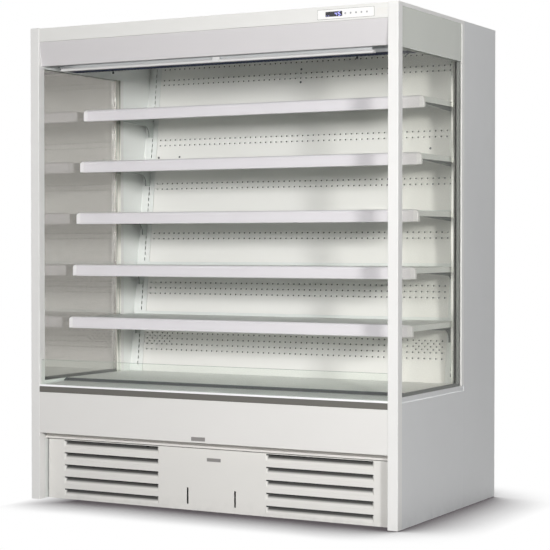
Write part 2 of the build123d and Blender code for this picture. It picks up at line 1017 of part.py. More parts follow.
def back_panels():
    """Six leaning panels that close the air duct between the uprights, joined behind the shelves."""
    reach = upright_inner - seat_gap
    joints = [(tray_top(k) - deck_top) / lean_cos for k in reversed(range(shelf_count))]
    edges = [0, *joints, upright_top]
    with BuildPart() as panels:
        for low, high in zip(edges, edges[1:]):
            fold = [
                (panel_fold, low + seat_gap),
                (panel_recess, low + seat_gap),
                (panel_recess, high - seat_gap),
                (panel_fold, high - seat_gap),
            ]
            section = folded_outline(leaning_side(-reach), fold, thin_sheet, Side.RIGHT)
            extrude(section, amount=2 * reach)
    panels.part.label = "back_panels"
    return panels.part


def bracket_outline(shelf):
    """A shelf bracket's side view: level top, sloping underside, arched into its rear leg."""
    top = tray_top(shelf) - thin_sheet - seat_gap
    foot = top - bracket_height
    tip = shelf_front(shelf) + rail_depth + tray_front_fold
    leg = wall_y(foot) - bracket_leg
    corner = (leg, top - bracket_tip - bracket_slope)
    points = [
        (wall_y(top), top),
        (tip, top),
        (tip, top - bracket_tip),
        corner,
        (leg, foot),
        (wall_y(foot), foot),
    ]
    with BuildSketch(side_plane(slot_x - bracket_sheet / 2)) as outline:
        with BuildLine():
            Polyline(points, close=True)
        make_face()
        fillet(outline.vertices().sort_by_distance((*corner, 0))[0], bracket_arch)
        with Locations((wall_y(top) - bracket_hole_inset, top - bracket_hole_inset)):
            Circle(bracket_hole, mode=Mode.SUBTRACT)
    return outline.sketch


def bracket_hooks(shelf):
    """The two hooks that drop behind the upright's face through its slots."""
    low = upright_sheet + seat_gap
    with BuildSketch(leaning_side(slot_x - bracket_sheet / 2)) as hooks:
        for index in (shelf_slot(shelf), shelf_slot(shelf) - hook_spacing):
            neck = slot_up(index) - slot_height / 2 + seat_gap + hook_neck / 2
            with Locations(((low + hook_thickness - hook_root) / 2, neck)):
                Rectangle(low + hook_thickness + hook_root, hook_neck)
            with Locations((low + hook_thickness / 2, neck - hook_drop / 2)):
                Rectangle(hook_thickness, hook_neck + hook_drop)
    return hooks.sketch


def shelf_brackets():
    """A hooked bracket under each end of every shelf."""
    with BuildPart() as brackets:
        for shelf in range(shelf_count):
            extrude(bracket_outline(shelf), amount=bracket_sheet)
            extrude(bracket_hooks(shelf), amount=bracket_sheet)
        mirror(about=Plane.YZ)
    brackets.part.label = "shelf_brackets"
    return brackets.part


def shelf(number):
    """Folded shelf tray with a rear upstand and two stiffening ribs underneath."""
    top = tray_top(number)
    nose = shelf_front(number) + rail_depth + seat_gap
    heel = wall_y(top) - 4 * seat_gap - thin_sheet
    fold = [
        (nose, top - tray_front_fold),
        (nose, top),
        (heel, top),
        (heel, top + tray_upstand),
    ]
    rib_half = upright_inner - bracket_leg
    with BuildPart() as tray:
        section = folded_outline(side_plane(-tray_half), fold, thin_sheet, Side.RIGHT)
        extrude(section, amount=2 * tray_half)
        for x in (-tray_half, tray_half - thin_sheet):
            block((x, x + thin_sheet), (nose, heel - thin_sheet), (top - tray_side_fold, top))
        for share in (1 / 3, 2 / 3):
            y = nose + (heel - nose) * share
            rib = [
                (y - tray_rib_width / 2, top - thin_sheet),
                (y - tray_rib_width / 2 + tray_rib_slope, top - thin_sheet - tray_rib_height),
                (y + tray_rib_width / 2 - tray_rib_slope, top - thin_sheet - tray_rib_height),
                (y + tray_rib_width / 2, top - thin_sheet),
            ]
            extrusion(rib, -rib_half, rib_half)
    tray.part.label = f"shelf_{number + 1}"
    return tray.part


def ticket_rail(number):
    """Price rail clipped on the shelf's front edge, with a rounded cap on each end."""
    y = shelf_front(number)
    top = tray_top(number) + rail_stand
    foot = top - rail_height
    lip_z = tray_top(number) + seat_gap + rail_wall
    with BuildPart() as rail:
        with BuildSketch(side_plane(-rail_half)):
            with BuildLine():
                FilletPolyline((y + rail_lip, lip_z), (y + rail_depth, lip_z), (y + rail_wall, top),
                               (y, foot), (y + rail_depth, foot), (y + rail_depth, foot + rail_lip / 2),
                               radius=(rail_round, rail_nose, rail_round, rail_round))
                offset(amount=rail_wall, side=Side.LEFT, kind=Kind.INTERSECTION)
            make_face()
        extrude(amount=2 * rail_half)
        for x in (-rail_end, rail_half):
            with BuildSketch(side_plane(x)):
                with BuildLine():
                    FilletPolyline((y + rail_depth, lip_z), (y + rail_wall, top), (y, foot),
                                   (y + rail_depth, foot), close=True,
                                   radius=(rail_round, rail_nose, rail_round, rail_round))
                make_face()
            extrude(amount=rail_cap)
        for plane, near, far, amount in ((face_plane(y), top, foot, -rail_lip),
                                         (level(foot), y, y + rail_lip, rail_height)):
            with BuildSketch(plane) as view:
                with BuildLine():
                    FilletPolyline((-rail_end, far), (-rail_end, near), (rail_end, near), (rail_end, far),
                                   close=True, radius=(0, rail_end_round, rail_end_round, 0))
                make_face()
            extrude(view.sketch, amount=amount, mode=Mode.INTERSECT)
    rail.part.label = f"ticket_rail_{number + 1}"
    return rail.part


def deck_pan():
    """Right-hand deck pan: a shallow tray turned over, with finger slots to lift it by."""
    slot_outer_x = lower_inner - deck_slot_inset
    with BuildPart() as pan:
        block((seat_gap, lower_inner - seat_gap), (deck_front, deck_rear), (deck_foot, deck_top))
        offset(amount=-sheet, openings=pan.faces().sort_by(Axis.Z)[0])
        with BuildSketch(level(deck_top)):
            with Locations((slot_outer_x, deck_slot_y), (deck_slot_inner_x, deck_slot_y)):
                SlotOverall(deck_slot_length, deck_slot_width)
        extrude(amount=-2 * sheet, mode=Mode.SUBTRACT)
    pan.part.label = "deck_pan_right"
    return pan.part


def return_grille():
    """Slanting slotted grille in front of the deck, where the air goes back down."""
    rear = deck_front - seat_gap
    grille_low = deck_top - grille_drop
    grille_high = deck_top + grille_rise
    fold = [
        (grille_front, deck_foot),
        (grille_front, grille_low),
        (rear, grille_high),
        (rear, deck_foot),
    ]
    reach = post_inner
    count = int(2 * reach / grille_slot_pitch)
    slope = Plane(
        origin=(0, front + (grille_front + rear) / 2, (grille_low + grille_high) / 2),
        x_dir=(1, 0, 0),
        z_dir=(0, grille_low - grille_high, rear - grille_front),
    )
    with BuildPart() as grille:
        section = folded_outline(side_plane(-reach), fold, thin_sheet, Side.RIGHT)
        extrude(section, amount=2 * reach)
        with BuildSketch(slope):
            with GridLocations(grille_slot_pitch, 1, count, 1):
                Rectangle(grille_slot_width, grille_slot_height)
        extrude(amount=-2 * thin_sheet, mode=Mode.SUBTRACT)
    grille.part.label = "return_grille"
    return grille.part


def riser_profile():
    """Aluminium sill that holds the glass riser and runs back to the return grille."""
    foot = bumper_top + seat_gap
    channel_rear = riser_glass_y + riser_glass_depth + seat_gap
    channel_foot = foot + channel_floor
    apron = channel_foot + channel_depth + apron_wall
    outline = [
        (apron_front, foot),
        (apron_front, channel_foot + channel_depth),
        (riser_glass_y - seat_gap, channel_foot + channel_depth),
        (riser_glass_y - seat_gap, channel_foot),
        (channel_rear, channel_foot),
        (channel_rear, apron - apron_wall / 2),
        (apron_rear, apron - apron_wall / 2 + apron_rise),
        (apron_rear, rim_height + seat_gap),
        (apron_rear - apron_wall, rim_height + seat_gap),
        (apron_rear - apron_wall, apron - 2 * apron_wall + apron_rise),
        (tub_inner_front, apron - 2 * apron_wall),
        (tub_inner_front, foot),
    ]
    with BuildPart() as sill:
        extrusion(outline, -post_inner, post_inner)
    sill.part.label = "riser_profile"
    return sill.part


def riser_glass():
    """Low glass riser at the front of the deck, with arrised edges."""
    foot = bumper_top + seat_gap + channel_floor + seat_gap
    with BuildPart() as glass:
        block((-riser_half, riser_half), (riser_glass_y, riser_glass_y + riser_glass_depth),
              (foot, riser_top))
        chamfer(glass.edges().filter_by(Axis.X).group_by(Axis.Z)[-1], riser_arris)
    glass.part.label = "riser_glass"
    return glass.part


def bumper():
    """Dark bumper strip under the sill."""
    with BuildPart() as strip:
        block((-post_inner, post_inner), (bumper_front, tub_front), (bumper_foot, bumper_top))
        fillet(strip.edges().filter_by(Axis.X).group_by(Axis.Y)[0], edge_round)
    strip.part.label = "bumper"
    return strip.part


def front_panel():
    """Folded front panel below the bumper."""
    rear = tub_front - seat_gap
    fold = [
        (rear, bumper_foot - seat_gap),
        (bumper_front, bumper_foot - seat_gap),
        (bumper_front, front_panel_foot),
        (rear, front_panel_foot),
        (rear, front_panel_foot + front_panel_return),
    ]
    with BuildPart() as panel:
        folding(fold, -post_inner, post_inner, side=Side.LEFT)
    panel.part.label = "front_panel"
    return panel.part


def louvre_pocket():
    """The hollow of one pressed louvre: deepest at its top, tapered away at both ends."""
    return Wedge(louvre_width, louvre_press, louvre_rise, louvre_taper, louvre_rise - sheet,
                 louvre_width - louvre_taper, louvre_rise, mode=Mode.PRIVATE)


def plinth_panel():
    """Lift-off kick panel, with two blocks of pressed air louvres and two hand slots."""
    pocket = louvre_pocket()
    middle_y = front + plinth_front + louvre_press / 2
    tops = [louvre_top - i * louvre_pitch for i in range(louvre_count)]
    places = [(x, top) for x in (-louvre_x, louvre_x) for top in tops]
    with BuildPart() as plinth:
        block((-plinth_half, plinth_half), (plinth_front, plinth_front + plinth_depth),
              (floor_gap, plinth_top))
        offset(amount=-sheet, openings=plinth.faces().sort_by(Axis.Y)[-1])
        with Locations(*[(x, middle_y + sheet, top - louvre_rise / 2 - sheet / 2) for x, top in places]):
            add(pocket)
        with Locations(*[(x, middle_y - seat_gap, top - louvre_rise / 2) for x, top in places]):
            add(pocket, mode=Mode.SUBTRACT)
        for x, top in places:
            block((x - louvre_width / 2, x + louvre_width / 2),
                  (plinth_front + sheet, plinth_front + louvre_press + 2 * sheet),
                  (top - louvre_slot, top), mode=Mode.SUBTRACT)
        with BuildSketch(face_plane(plinth_front)):
            with Locations((-hand_slot_x, hand_slot_z), (hand_slot_x, hand_slot_z)):
                SlotOverall(hand_slot_length, hand_slot_width, rotation=90)
        extrude(amount=-2 * sheet, mode=Mode.SUBTRACT)
    plinth.part.label = "plinth_panel"
    return plinth.part


def fan_blades(axis_plane, bore, label):
    """A hub with twisted blades that turns about the plane's normal inside a round bore."""
    root = fan_hub_radius - blade_root_sink
    tip = bore - fan_tip_clearance
    with BuildPart() as fan:
        with BuildSketch(axis_plane):
            Circle(fan_hub_radius)
            Circle(shaft_radius + running_clearance, mode=Mode.SUBTRACT)
        extrude(amount=fan_hub_length / 2, both=True)
        for turn in range(fan_blade_count):
            angle = turn * 360 / fan_blade_count
            spoke = Plane(axis_plane.location * Location((0, 0, 0), (0, 0, angle)))
            sections = []
            for radius, pitch in ((root, root_pitch), (tip, tip_pitch)):
                station = Plane(origin=spoke.from_local_coords((radius, 0, 0)), x_dir=spoke.y_dir,
                                z_dir=spoke.x_dir)
                with BuildSketch(station) as blade:
                    Rectangle(blade_chord, blade_sheet, rotation=pitch)
                sections.append(blade.sketch)
            loft(sections)
    fan.part.label = label
    return fan.part


def fan_plane(x):
    """The leaning plane of the evaporator fans, with its origin on a fan's centre."""
    tilt = radians(fan_plate_angle)
    along = fan_plate_length / 2
    centre = (x, front + fan_plate_y + along * cos(tilt), fan_plate_z + along * sin(tilt))
    return Plane(origin=centre, x_dir=(1, 0, 0), z_dir=(0, -sin(tilt), cos(tilt)))


def evaporator_fan_plate():
    """Slanting plate with bell-mouthed openings, and the two fan motors on their arms."""
    plane = fan_plane(0)
    reach = tub_cavity - seat_gap
    with BuildPart() as plate:
        with BuildSketch(plane):
            Rectangle(2 * reach, fan_plate_length)
            with Locations((-fan_x, 0), (fan_x, 0)):
                Circle(fan_bore, mode=Mode.SUBTRACT)
        extrude(amount=sheet, both=True)
        with BuildSketch(plane.offset(sheet)):
            with Locations((-fan_x, 0), (fan_x, 0)):
                Circle(fan_bore + fan_ring_wall)
                Circle(fan_bore, mode=Mode.SUBTRACT)
        extrude(amount=fan_ring_depth)
        motor_face = plane.offset(-fan_hub_length / 2 - fan_arm_gap)
        with BuildSketch(motor_face):
            with Locations((-fan_x, 0), (fan_x, 0)):
                Circle(motor_radius)
        extrude(amount=-motor_length)
        with BuildSketch(motor_face):
            with Locations((-fan_x, 0), (fan_x, 0)):
                Circle(shaft_radius)
        extrude(amount=fan_hub_length + fan_arm_gap + sheet)
        with BuildSketch(motor_face):
            with Locations((-fan_x, 0), (fan_x, 0)):
                Rectangle(2 * (fan_bore + fan_ring_wall), fan_arm_width)
        extrude(amount=-fan_arm_width)
        with BuildSketch(motor_face.offset(-fan_arm_width)):
            for x in (-fan_x, fan_x):
                with Locations((x - fan_bore - fan_ring_wall, 0), (x + fan_bore + fan_ring_wall, 0)):
                    Rectangle(fan_arm_width, 2 * fan_arm_width)
        extrude(amount=fan_arm_width + fan_arm_gap + fan_hub_length / 2 - sheet)
    plate.part.label = "evaporator_fan_plate"
    return plate.part


def evaporator():
    """Finned evaporator coil with its end plates and return bends."""
    middle = (evaporator_front + evaporator_rear) / 2
    with BuildPart() as coil:
        block((-evaporator_half, evaporator_half),
              (evaporator_front + fin_sheet, evaporator_rear - fin_sheet),
              (evaporator_foot + fin_stand, evaporator_top - fin_sheet))
        fins = int(2 * evaporator_half / fin_pitch)
        with BuildSketch(level(evaporator_foot)):
            with Locations((0, middle)):
                with GridLocations(2 * evaporator_half / fins, 1, fins + 1, 1):
                    Rectangle(fin_sheet, evaporator_depth)
        extrude(amount=evaporator_top - evaporator_foot)
        for side in (-1, 1):
            plane = side_plane(side * evaporator_half)
            with BuildSketch(plane):
                with Locations((middle, (evaporator_foot + evaporator_top) / 2)):
                    with GridLocations(evaporator_depth / tube_rows, fin_pitch, tube_rows, 2):
                        SlotOverall(return_bend, 2 * tube_run_radius)
            extrude(amount=side * return_reach)
    coil.part.label = "evaporator"
    return coil.part


def compressor():
    """Hermetic compressor on its foot plate and four rubber mounts."""
    top = compressor_foot + compressor_height
    waist = compressor_radius - compressor_dome
    box_z = compressor_foot + compressor_dome
    side_x = compressor_x + compressor_radius
    with BuildPart() as pot:
        with BuildSketch(Plane((compressor_x, front + compressor_y, 0), x_dir=(1, 0, 0), z_dir=(0, -1, 0))):
            with BuildLine():
                base = Polyline((0, compressor_foot), (waist, compressor_foot))
                lower = RadiusArc(base @ 1, (compressor_radius, box_z), -compressor_dome)
                side = Line(lower @ 1, (compressor_radius, top - compressor_dome))
                upper = RadiusArc(side @ 1, (waist, top), -compressor_dome)
                Polyline(upper @ 1, (0, top), (0, compressor_foot))
            make_face()
        revolve(axis=Axis((compressor_x, front + compressor_y, 0), (0, 0, 1)))
        with BuildSketch(level(compressor_foot + compressor_seam)):
            with Locations((compressor_x, compressor_y)):
                Circle(compressor_radius + seam_flange)
        extrude(amount=seam_flange)
        with BuildSketch(level(compressor_foot - foot_plate)):
            with Locations((compressor_x, compressor_y)):
                RectangleRounded(foot_plate_length, foot_plate_width, mount_radius)
        extrude(amount=foot_plate + compressor_dome / 4)
        block((side_x - terminal_inset, side_x + terminal_reach),
              (compressor_y - terminal_width / 2, compressor_y + terminal_width / 2),
              (box_z, box_z + terminal_height))
        with BuildSketch(level(machine_floor)):
            with Locations((compressor_x, compressor_y)):
                with GridLocations(mount_length, mount_width, 2, 2):
                    Circle(mount_radius)
        extrude(amount=compressor_foot - foot_plate - machine_floor)
    pot.part.label = "compressor"
    return pot.part


def condenser():
    """Condenser coil behind the right-hand louvres, with its fan shroud and motor."""
    shroud_rear = condenser_rear + shroud_depth
    arm_y = shroud_rear + condenser_arm_gap
    x_span = (condenser_start, condenser_end)
    fins = int(condenser_width / condenser_fin_pitch)
    with BuildPart() as coil:
        block((x_span[0] + fin_sheet, x_span[1] - fin_sheet),
              (condenser_front + fin_sheet, condenser_rear - fin_sheet),
              (machine_floor + fin_sheet, condenser_top - fin_sheet))
        with BuildSketch(level(machine_floor)):
            with Locations((condenser_x, (condenser_front + condenser_rear) / 2)):
                with GridLocations((condenser_width - fin_sheet) / fins, 1, fins + 1, 1):
                    Rectangle(fin_sheet, condenser_depth)
        extrude(amount=condenser_top - machine_floor)
        block(x_span, (condenser_rear, shroud_rear), (machine_floor, condenser_top))
        block((x_span[0] + sheet, x_span[1] - sheet), (condenser_rear, shroud_rear - sheet),
              (machine_floor + sheet, condenser_top - sheet), mode=Mode.SUBTRACT)
        with BuildSketch(face_plane(condenser_fan_y)):
            with Locations((condenser_x, condenser_fan_z)):
                Circle(condenser_bore)
        extrude(amount=-fan_hub_length, mode=Mode.SUBTRACT)
        with BuildSketch(face_plane(arm_y)):
            with Locations((condenser_x, condenser_fan_z)):
                Rectangle(2 * (condenser_bore + condenser_arm_reach), fan_arm_width)
                Circle(motor_radius)
        extrude(amount=-fan_arm_width)
        with BuildSketch(face_plane(arm_y + fan_arm_width)):
            with Locations((condenser_x, condenser_fan_z)):
                Circle(motor_radius)
        extrude(amount=-motor_length)
        with BuildSketch(face_plane(arm_y)):
            with Locations((condenser_x, condenser_fan_z)):
                Circle(shaft_radius)
        extrude(amount=arm_y - condenser_fan_y + fan_hub_length / 2 + sheet)
        with BuildSketch(face_plane(arm_y)):
            reach = condenser_bore + condenser_arm_reach / 2
            with Locations((condenser_x - reach, condenser_fan_z), (condenser_x + reach, condenser_fan_z)):
                Rectangle(condenser_arm_reach / 2, fan_arm_width)
        extrude(amount=condenser_arm_gap)
    coil.part.label = "condenser"
    return coil.part


def condenser_fan_plane():
    """The plane of the condenser fan, on its centre."""
    centre = (condenser_x, front + condenser_fan_y, condenser_fan_z)
    return Plane(origin=centre, x_dir=(1, 0, 0), z_dir=(0, -1, 0))


def drip_tray():
    """Open tray on the machine floor where the defrost water dries off."""
    with BuildPart() as tray:
        block((tray_start, tray_end), (tray_y - tray_width / 2, tray_y + tray_width / 2),
              (machine_floor, machine_floor + tray_height))
        fillet(tray.edges().filter_by(Axis.Z), tray_round)
        offset(amount=-sheet, openings=tray.faces().sort_by(Axis.Z)[-1])
    tray.part.label = "drip_tray"
    return tray.part


def pipe(route, radius):
    """Bend a copper pipe along a route of (x, y, z) points in the open part."""
    points = [(x, front + y, z) for x, y, z in route]
    with BuildLine() as path:
        FilletPolyline(*points, radius=pipe_bend)
    with BuildSketch(Plane(origin=path.line @ 0, z_dir=path.line % 0)) as section:
        Circle(radius)
    sweep(section.sketch, path=path.line)


def refrigerant_pipes():
    """Discharge, liquid and suction pipes between the coils and the compressor."""
    liquid_x = tray_start - lane_gap
    discharge_x = liquid_x - pipe_spacing
    lane = compressor_y + compressor_radius + pipe_lane
    coil_y = (condenser_front + condenser_rear) / 2
    inlet_z = evaporator_top - pipe_bend
    outlet_z = evaporator_foot + fin_pitch
    inlet_x = port_x + 2 * tube_run_radius
    outlet_x = port_x - 2 * tube_run_radius
    discharge = [
        (compressor_x + compressor_radius + terminal_reach + seat_gap, compressor_y, pipe_high),
        (discharge_x, compressor_y, pipe_high),
        (discharge_x, coil_y, pipe_high),
        (condenser_start - seat_gap, coil_y, pipe_high),
    ]
    liquid = [
        (condenser_start - seat_gap, coil_y, pipe_low),
        (liquid_x, coil_y, pipe_low),
        (liquid_x, lane, pipe_low),
        (inlet_x, lane, pipe_low),
        (inlet_x, port_y, pipe_low),
        (inlet_x, port_y, inlet_z),
        (inlet_x, evaporator_rear + seat_gap, inlet_z),
    ]
    suction = [
        (outlet_x, evaporator_rear + seat_gap, outlet_z),
        (outlet_x, port_y, outlet_z),
        (outlet_x, port_y, pipe_high),
        (outlet_x, compressor_y, pipe_high),
        (compressor_x - compressor_radius - seat_gap, compressor_y, pipe_high),
    ]
    with BuildPart() as pipes:
        pipe(discharge, tube_run_radius)
        pipe(liquid, tube_run_radius)
        pipe(suction, suction_radius)
    pipes.part.label = "refrigerant_pipes"
    return pipes.part


def electrical_box():
    """Wiring box with its lid, and the bare mains gland through the vent sheet behind it."""
    lid_foot = machine_floor + box_height
    box_front = box_rear - box_width
    x_span = (box_x - box_length / 2, box_x + box_length / 2)
    with BuildPart() as box:
        block(x_span, (box_front, box_rear), (machine_floor, lid_foot))
        fillet(box.edges().filter_by(Axis.Z), box_round)
        block((x_span[0] - sheet, x_span[1] + sheet), (box_front - sheet, box_rear),
              (lid_foot, lid_foot + box_lid))
        with BuildSketch(face_plane(box_rear)):
            with Locations((gland_x, gland_z)):
                Circle(gland_radius)
        extrude(amount=box_rear - depth + gland_radius)
        with BuildSketch(face_plane(depth - vent_recess + sheet + seat_gap)):
            with Locations((gland_x, gland_z)):
                RegularPolygon(gland_nut, 6)
        extrude(amount=-gland_radius)
        with BuildSketch(face_plane(depth)):
            with Locations((gland_x, gland_z)):
                Circle(gland_radius / 2)
        extrude(amount=depth - box_rear, mode=Mode.SUBTRACT)
    box.part.label = "electrical_box"
    return box.part


def all_pieces():
    """Every piece of the fridge."""
    frame = side_frame()
    glass = side_glass()
    lower = lower_side_panel()
    rear = rear_side_panel()
    deck = deck_pan()
    yield from (frame, mirrored(frame, "left_side_frame"))
    yield from (glass, mirrored(glass, "left_side_glass"))
    yield from (lower, mirrored(lower, "left_lower_panel"))
    yield from (rear, mirrored(rear, "left_rear_panel"))
    yield from (deck, mirrored(deck, "deck_pan_left"))
    yield from (side_glass_seals(), rear_wall(), roof_panel(), base_tub(), base_frame(), levelling_feet())
    yield from (canopy_fascia(), canopy_cover(), ceiling_duct(), air_outlet_honeycomb(), canopy_lamp())
    yield controller_bezel()
    for number in range(button_count):
        yield button(number)
    yield from (blind_brackets(), blind_roller(), blind_fabric(), blind_pull_bar())
    yield from (uprights(), back_panels(), shelf_brackets())
    for number in range(shelf_count):
        yield shelf(number)
        yield ticket_rail(number)
    yield from (return_grille(), riser_profile(), riser_glass(), bumper(), front_panel(), plinth_panel())
    yield from (evaporator(), evaporator_fan_plate())
    yield fan_blades(fan_plane(-fan_x), fan_bore, "evaporator_fan_left")
    yield fan_blades(fan_plane(fan_x), fan_bore, "evaporator_fan_right")
    yield from (compressor(), condenser())
    yield fan_blades(condenser_fan_plane(), condenser_bore, "condenser_fan")
    yield from (drip_tray(), refrigerant_pipes(), electrical_box())


os.makedirs("parts", exist_ok=True)
for piece in all_pieces():
    export_step(piece, f"parts/{piece.label}.step")
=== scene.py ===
"""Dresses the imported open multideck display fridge: its finishes, fine parts, stage and lights."""

import logging
import math
from collections.abc import Iterator
from dataclasses import dataclass, field
from enum import Enum
from functools import cached_property, lru_cache

import bmesh
import bpy
import numpy as np
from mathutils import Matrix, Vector


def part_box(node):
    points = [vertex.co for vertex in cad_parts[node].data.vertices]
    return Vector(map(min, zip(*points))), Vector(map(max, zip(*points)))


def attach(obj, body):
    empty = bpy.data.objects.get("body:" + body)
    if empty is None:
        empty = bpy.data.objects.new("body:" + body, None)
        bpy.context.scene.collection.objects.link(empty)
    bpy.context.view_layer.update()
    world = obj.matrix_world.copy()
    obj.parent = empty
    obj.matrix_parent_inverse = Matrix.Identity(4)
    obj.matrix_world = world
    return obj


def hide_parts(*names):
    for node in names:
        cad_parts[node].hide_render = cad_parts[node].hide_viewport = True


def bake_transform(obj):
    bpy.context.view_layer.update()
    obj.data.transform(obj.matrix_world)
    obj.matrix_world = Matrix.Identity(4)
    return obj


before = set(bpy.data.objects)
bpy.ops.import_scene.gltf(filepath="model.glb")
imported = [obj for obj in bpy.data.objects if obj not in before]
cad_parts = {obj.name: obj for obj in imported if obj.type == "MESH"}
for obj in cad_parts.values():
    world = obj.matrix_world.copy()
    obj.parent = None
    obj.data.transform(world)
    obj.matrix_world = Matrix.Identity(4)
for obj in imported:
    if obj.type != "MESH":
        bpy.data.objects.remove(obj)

log = logging.getLogger("fridge")
Array = np.ndarray
Colour = tuple[float, float, float, float]
Point = tuple[float, float, float]
Socket = bpy.types.NodeSocket

MM = 0.001
HALF_DEPTH = 503.0  # mm from the front of the posts to the middle of the cabinet
LEAN = math.radians(7.1)  # of the back wall
WALL_FOOT_Y = 699.0  # mm, where the back wall's face meets the deck
DECK_TOP = 506.0  # mm above the floor
FLAT_SHADED = 5.0  # degrees, less than any bend of a honeycomb, so that none is shaded smooth


def linear(code: str) -> Colour:
    """Turn an sRGB hex colour into the linear colour that the shaders use.

    Args:
        code: six hex digits after a #.

    Returns:
        Linear red, green and blue with an alpha of 1.
    """
    parts = [int(code[i:i + 2], 16) / 255 for i in (1, 3, 5)]
    red, green, blue = (p / 12.92 if p <= 0.04045 else ((p + 0.055) / 1.055) ** 2.4 for p in parts)
    return (red, green, blue, 1.0)


def shaded(colour: Colour, factor: float) -> Colour:
    """Make a linear colour darker or lighter by a factor."""
    return (*(min(1.0, part * factor) for part in colour[:3]), 1.0)


def per_metre(size_mm: float) -> float:
    """The texture scale at which one lump or cell has a size in millimetres."""
    return 1 / (size_mm * MM)


def wave_scale(pitch_mm: float) -> float:
    """The wave texture's scale at which its bands repeat at a pitch in millimetres."""
    return math.tau / (20 * pitch_mm * MM)


def at(x: float, y: float, z: float) -> Point:
    """A point in metres from millimetres, with y counted back from the front of the posts."""
    return (x * MM, (y - HALF_DEPTH) * MM, z * MM)


def placed(x: Array, y: Array, z: Array) -> Array:
    """Stack arrays of millimetres into points in metres, with y counted back from the front.

    Args:
        x: places across the cabinet.
        y: places behind the front of the posts.
        z: heights above the floor.

    Returns:
        An array of points whose last axis is x, y, z.
    """
    x, y, z = np.broadcast_arrays(x, y, z)
    return np.stack([x, y - HALF_DEPTH, z], axis=-1) * MM


def leaning(x: Array, up: Array, behind: Array) -> Array:
    """Points on the leaning back wall.

    The wall turns about its foot: going up by s moves a point s sin(lean) back and s cos(lean) up,
    and going behind by b moves it b cos(lean) back and b sin(lean) down.

    Args:
        x: places across the cabinet, in mm.
        up: lengths up the wall from the deck, in mm.
        behind: depths behind the wall's face, in mm.

    Returns:
        Points in metres.
    """
    sine, cosine = math.sin(LEAN), math.cos(LEAN)
    y = WALL_FOOT_Y + up * sine + behind * cosine
    return placed(x, y, DECK_TOP + up * cosine - behind * sine)


class Grain(Enum):
    """The way a drawn or rolled finish runs, as the stretch of its pattern on X, Y and Z."""

    ACROSS = (0.02, 1.0, 1.0)
    UPRIGHT = (1.0, 1.0, 0.012)


class Side(Enum):
    """The customer's left or right."""

    LEFT = -1
    RIGHT = 1


class Recipe:
    """The node tree of a material or of the world while it is put together."""

    def __init__(self, owner: bpy.types.Material | bpy.types.World) -> None:
        """Start an empty tree.

        Args:
            owner: the material or world.
        """
        self.owner = owner
        owner.use_nodes = True
        self.tree = owner.node_tree
        self.tree.nodes.clear()

    def add(self, kind: str, inputs: dict | list | None = None, out: int | str = 0,
            **settings: object) -> Socket | None:
        """Add a node with its settings, values and links.

        Args:
            kind: the node's type, after ShaderNode.
            inputs: a value or an output to link, for each input by name or in order.
            out: which output to give back.
            settings: the node's own properties.

        Returns:
            The node's output, or None where it has none.
        """
        made = self.tree.nodes.new(f"ShaderNode{kind}")
        for key, value in settings.items():
            setattr(made, key, value)
        for key, value in inputs.items() if isinstance(inputs, dict) else enumerate(inputs or ()):
            if isinstance(value, Socket):
                self.tree.links.new(value, made.inputs[key])
            else:
                made.inputs[key].default_value = value
        return made.outputs[out] if made.outputs else None

    @cached_property
    def place(self) -> Socket:
        """The shaded point's place in the object, which is its place in the frame."""
        return self.add("TexCoord", out="Object")

    @cached_property
    def axes(self) -> list[Socket]:
        """The shaded point's x, y and z, in metres."""
        return list(self.add("SeparateXYZ", [self.place]).node.outputs)

    @cached_property
    def facing(self) -> list[Socket]:
        """The x, y and z of the direction that the face points in."""
        return list(self.add("SeparateXYZ", [self.add("NewGeometry", out="True Normal")]).node.outputs)

    @cached_property
    def direct(self) -> Socket:
        """Tell what is seen from what is lit.

        Returns:
            1 for rays from the camera, off a mirror or through glass, and 0 for light that lands on things.
        """
        camera, glossy, through = (self.add("LightPath", out=f"Is {ray} Ray")
                                   for ray in ("Camera", "Glossy", "Transmission"))
        either = self.add("Math", [camera, glossy], operation="MAXIMUM")
        return self.add("Math", [either, through], operation="MAXIMUM")

    def surface(self, shader: Socket) -> bpy.types.Material | bpy.types.World:
        """Link the last shader to the output.

        Args:
            shader: the last shader.

        Returns:
            The material or world.
        """
        kind = "OutputWorld" if isinstance(self.owner, bpy.types.World) else "OutputMaterial"
        self.add(kind, {"Surface": shader})
        return self.owner


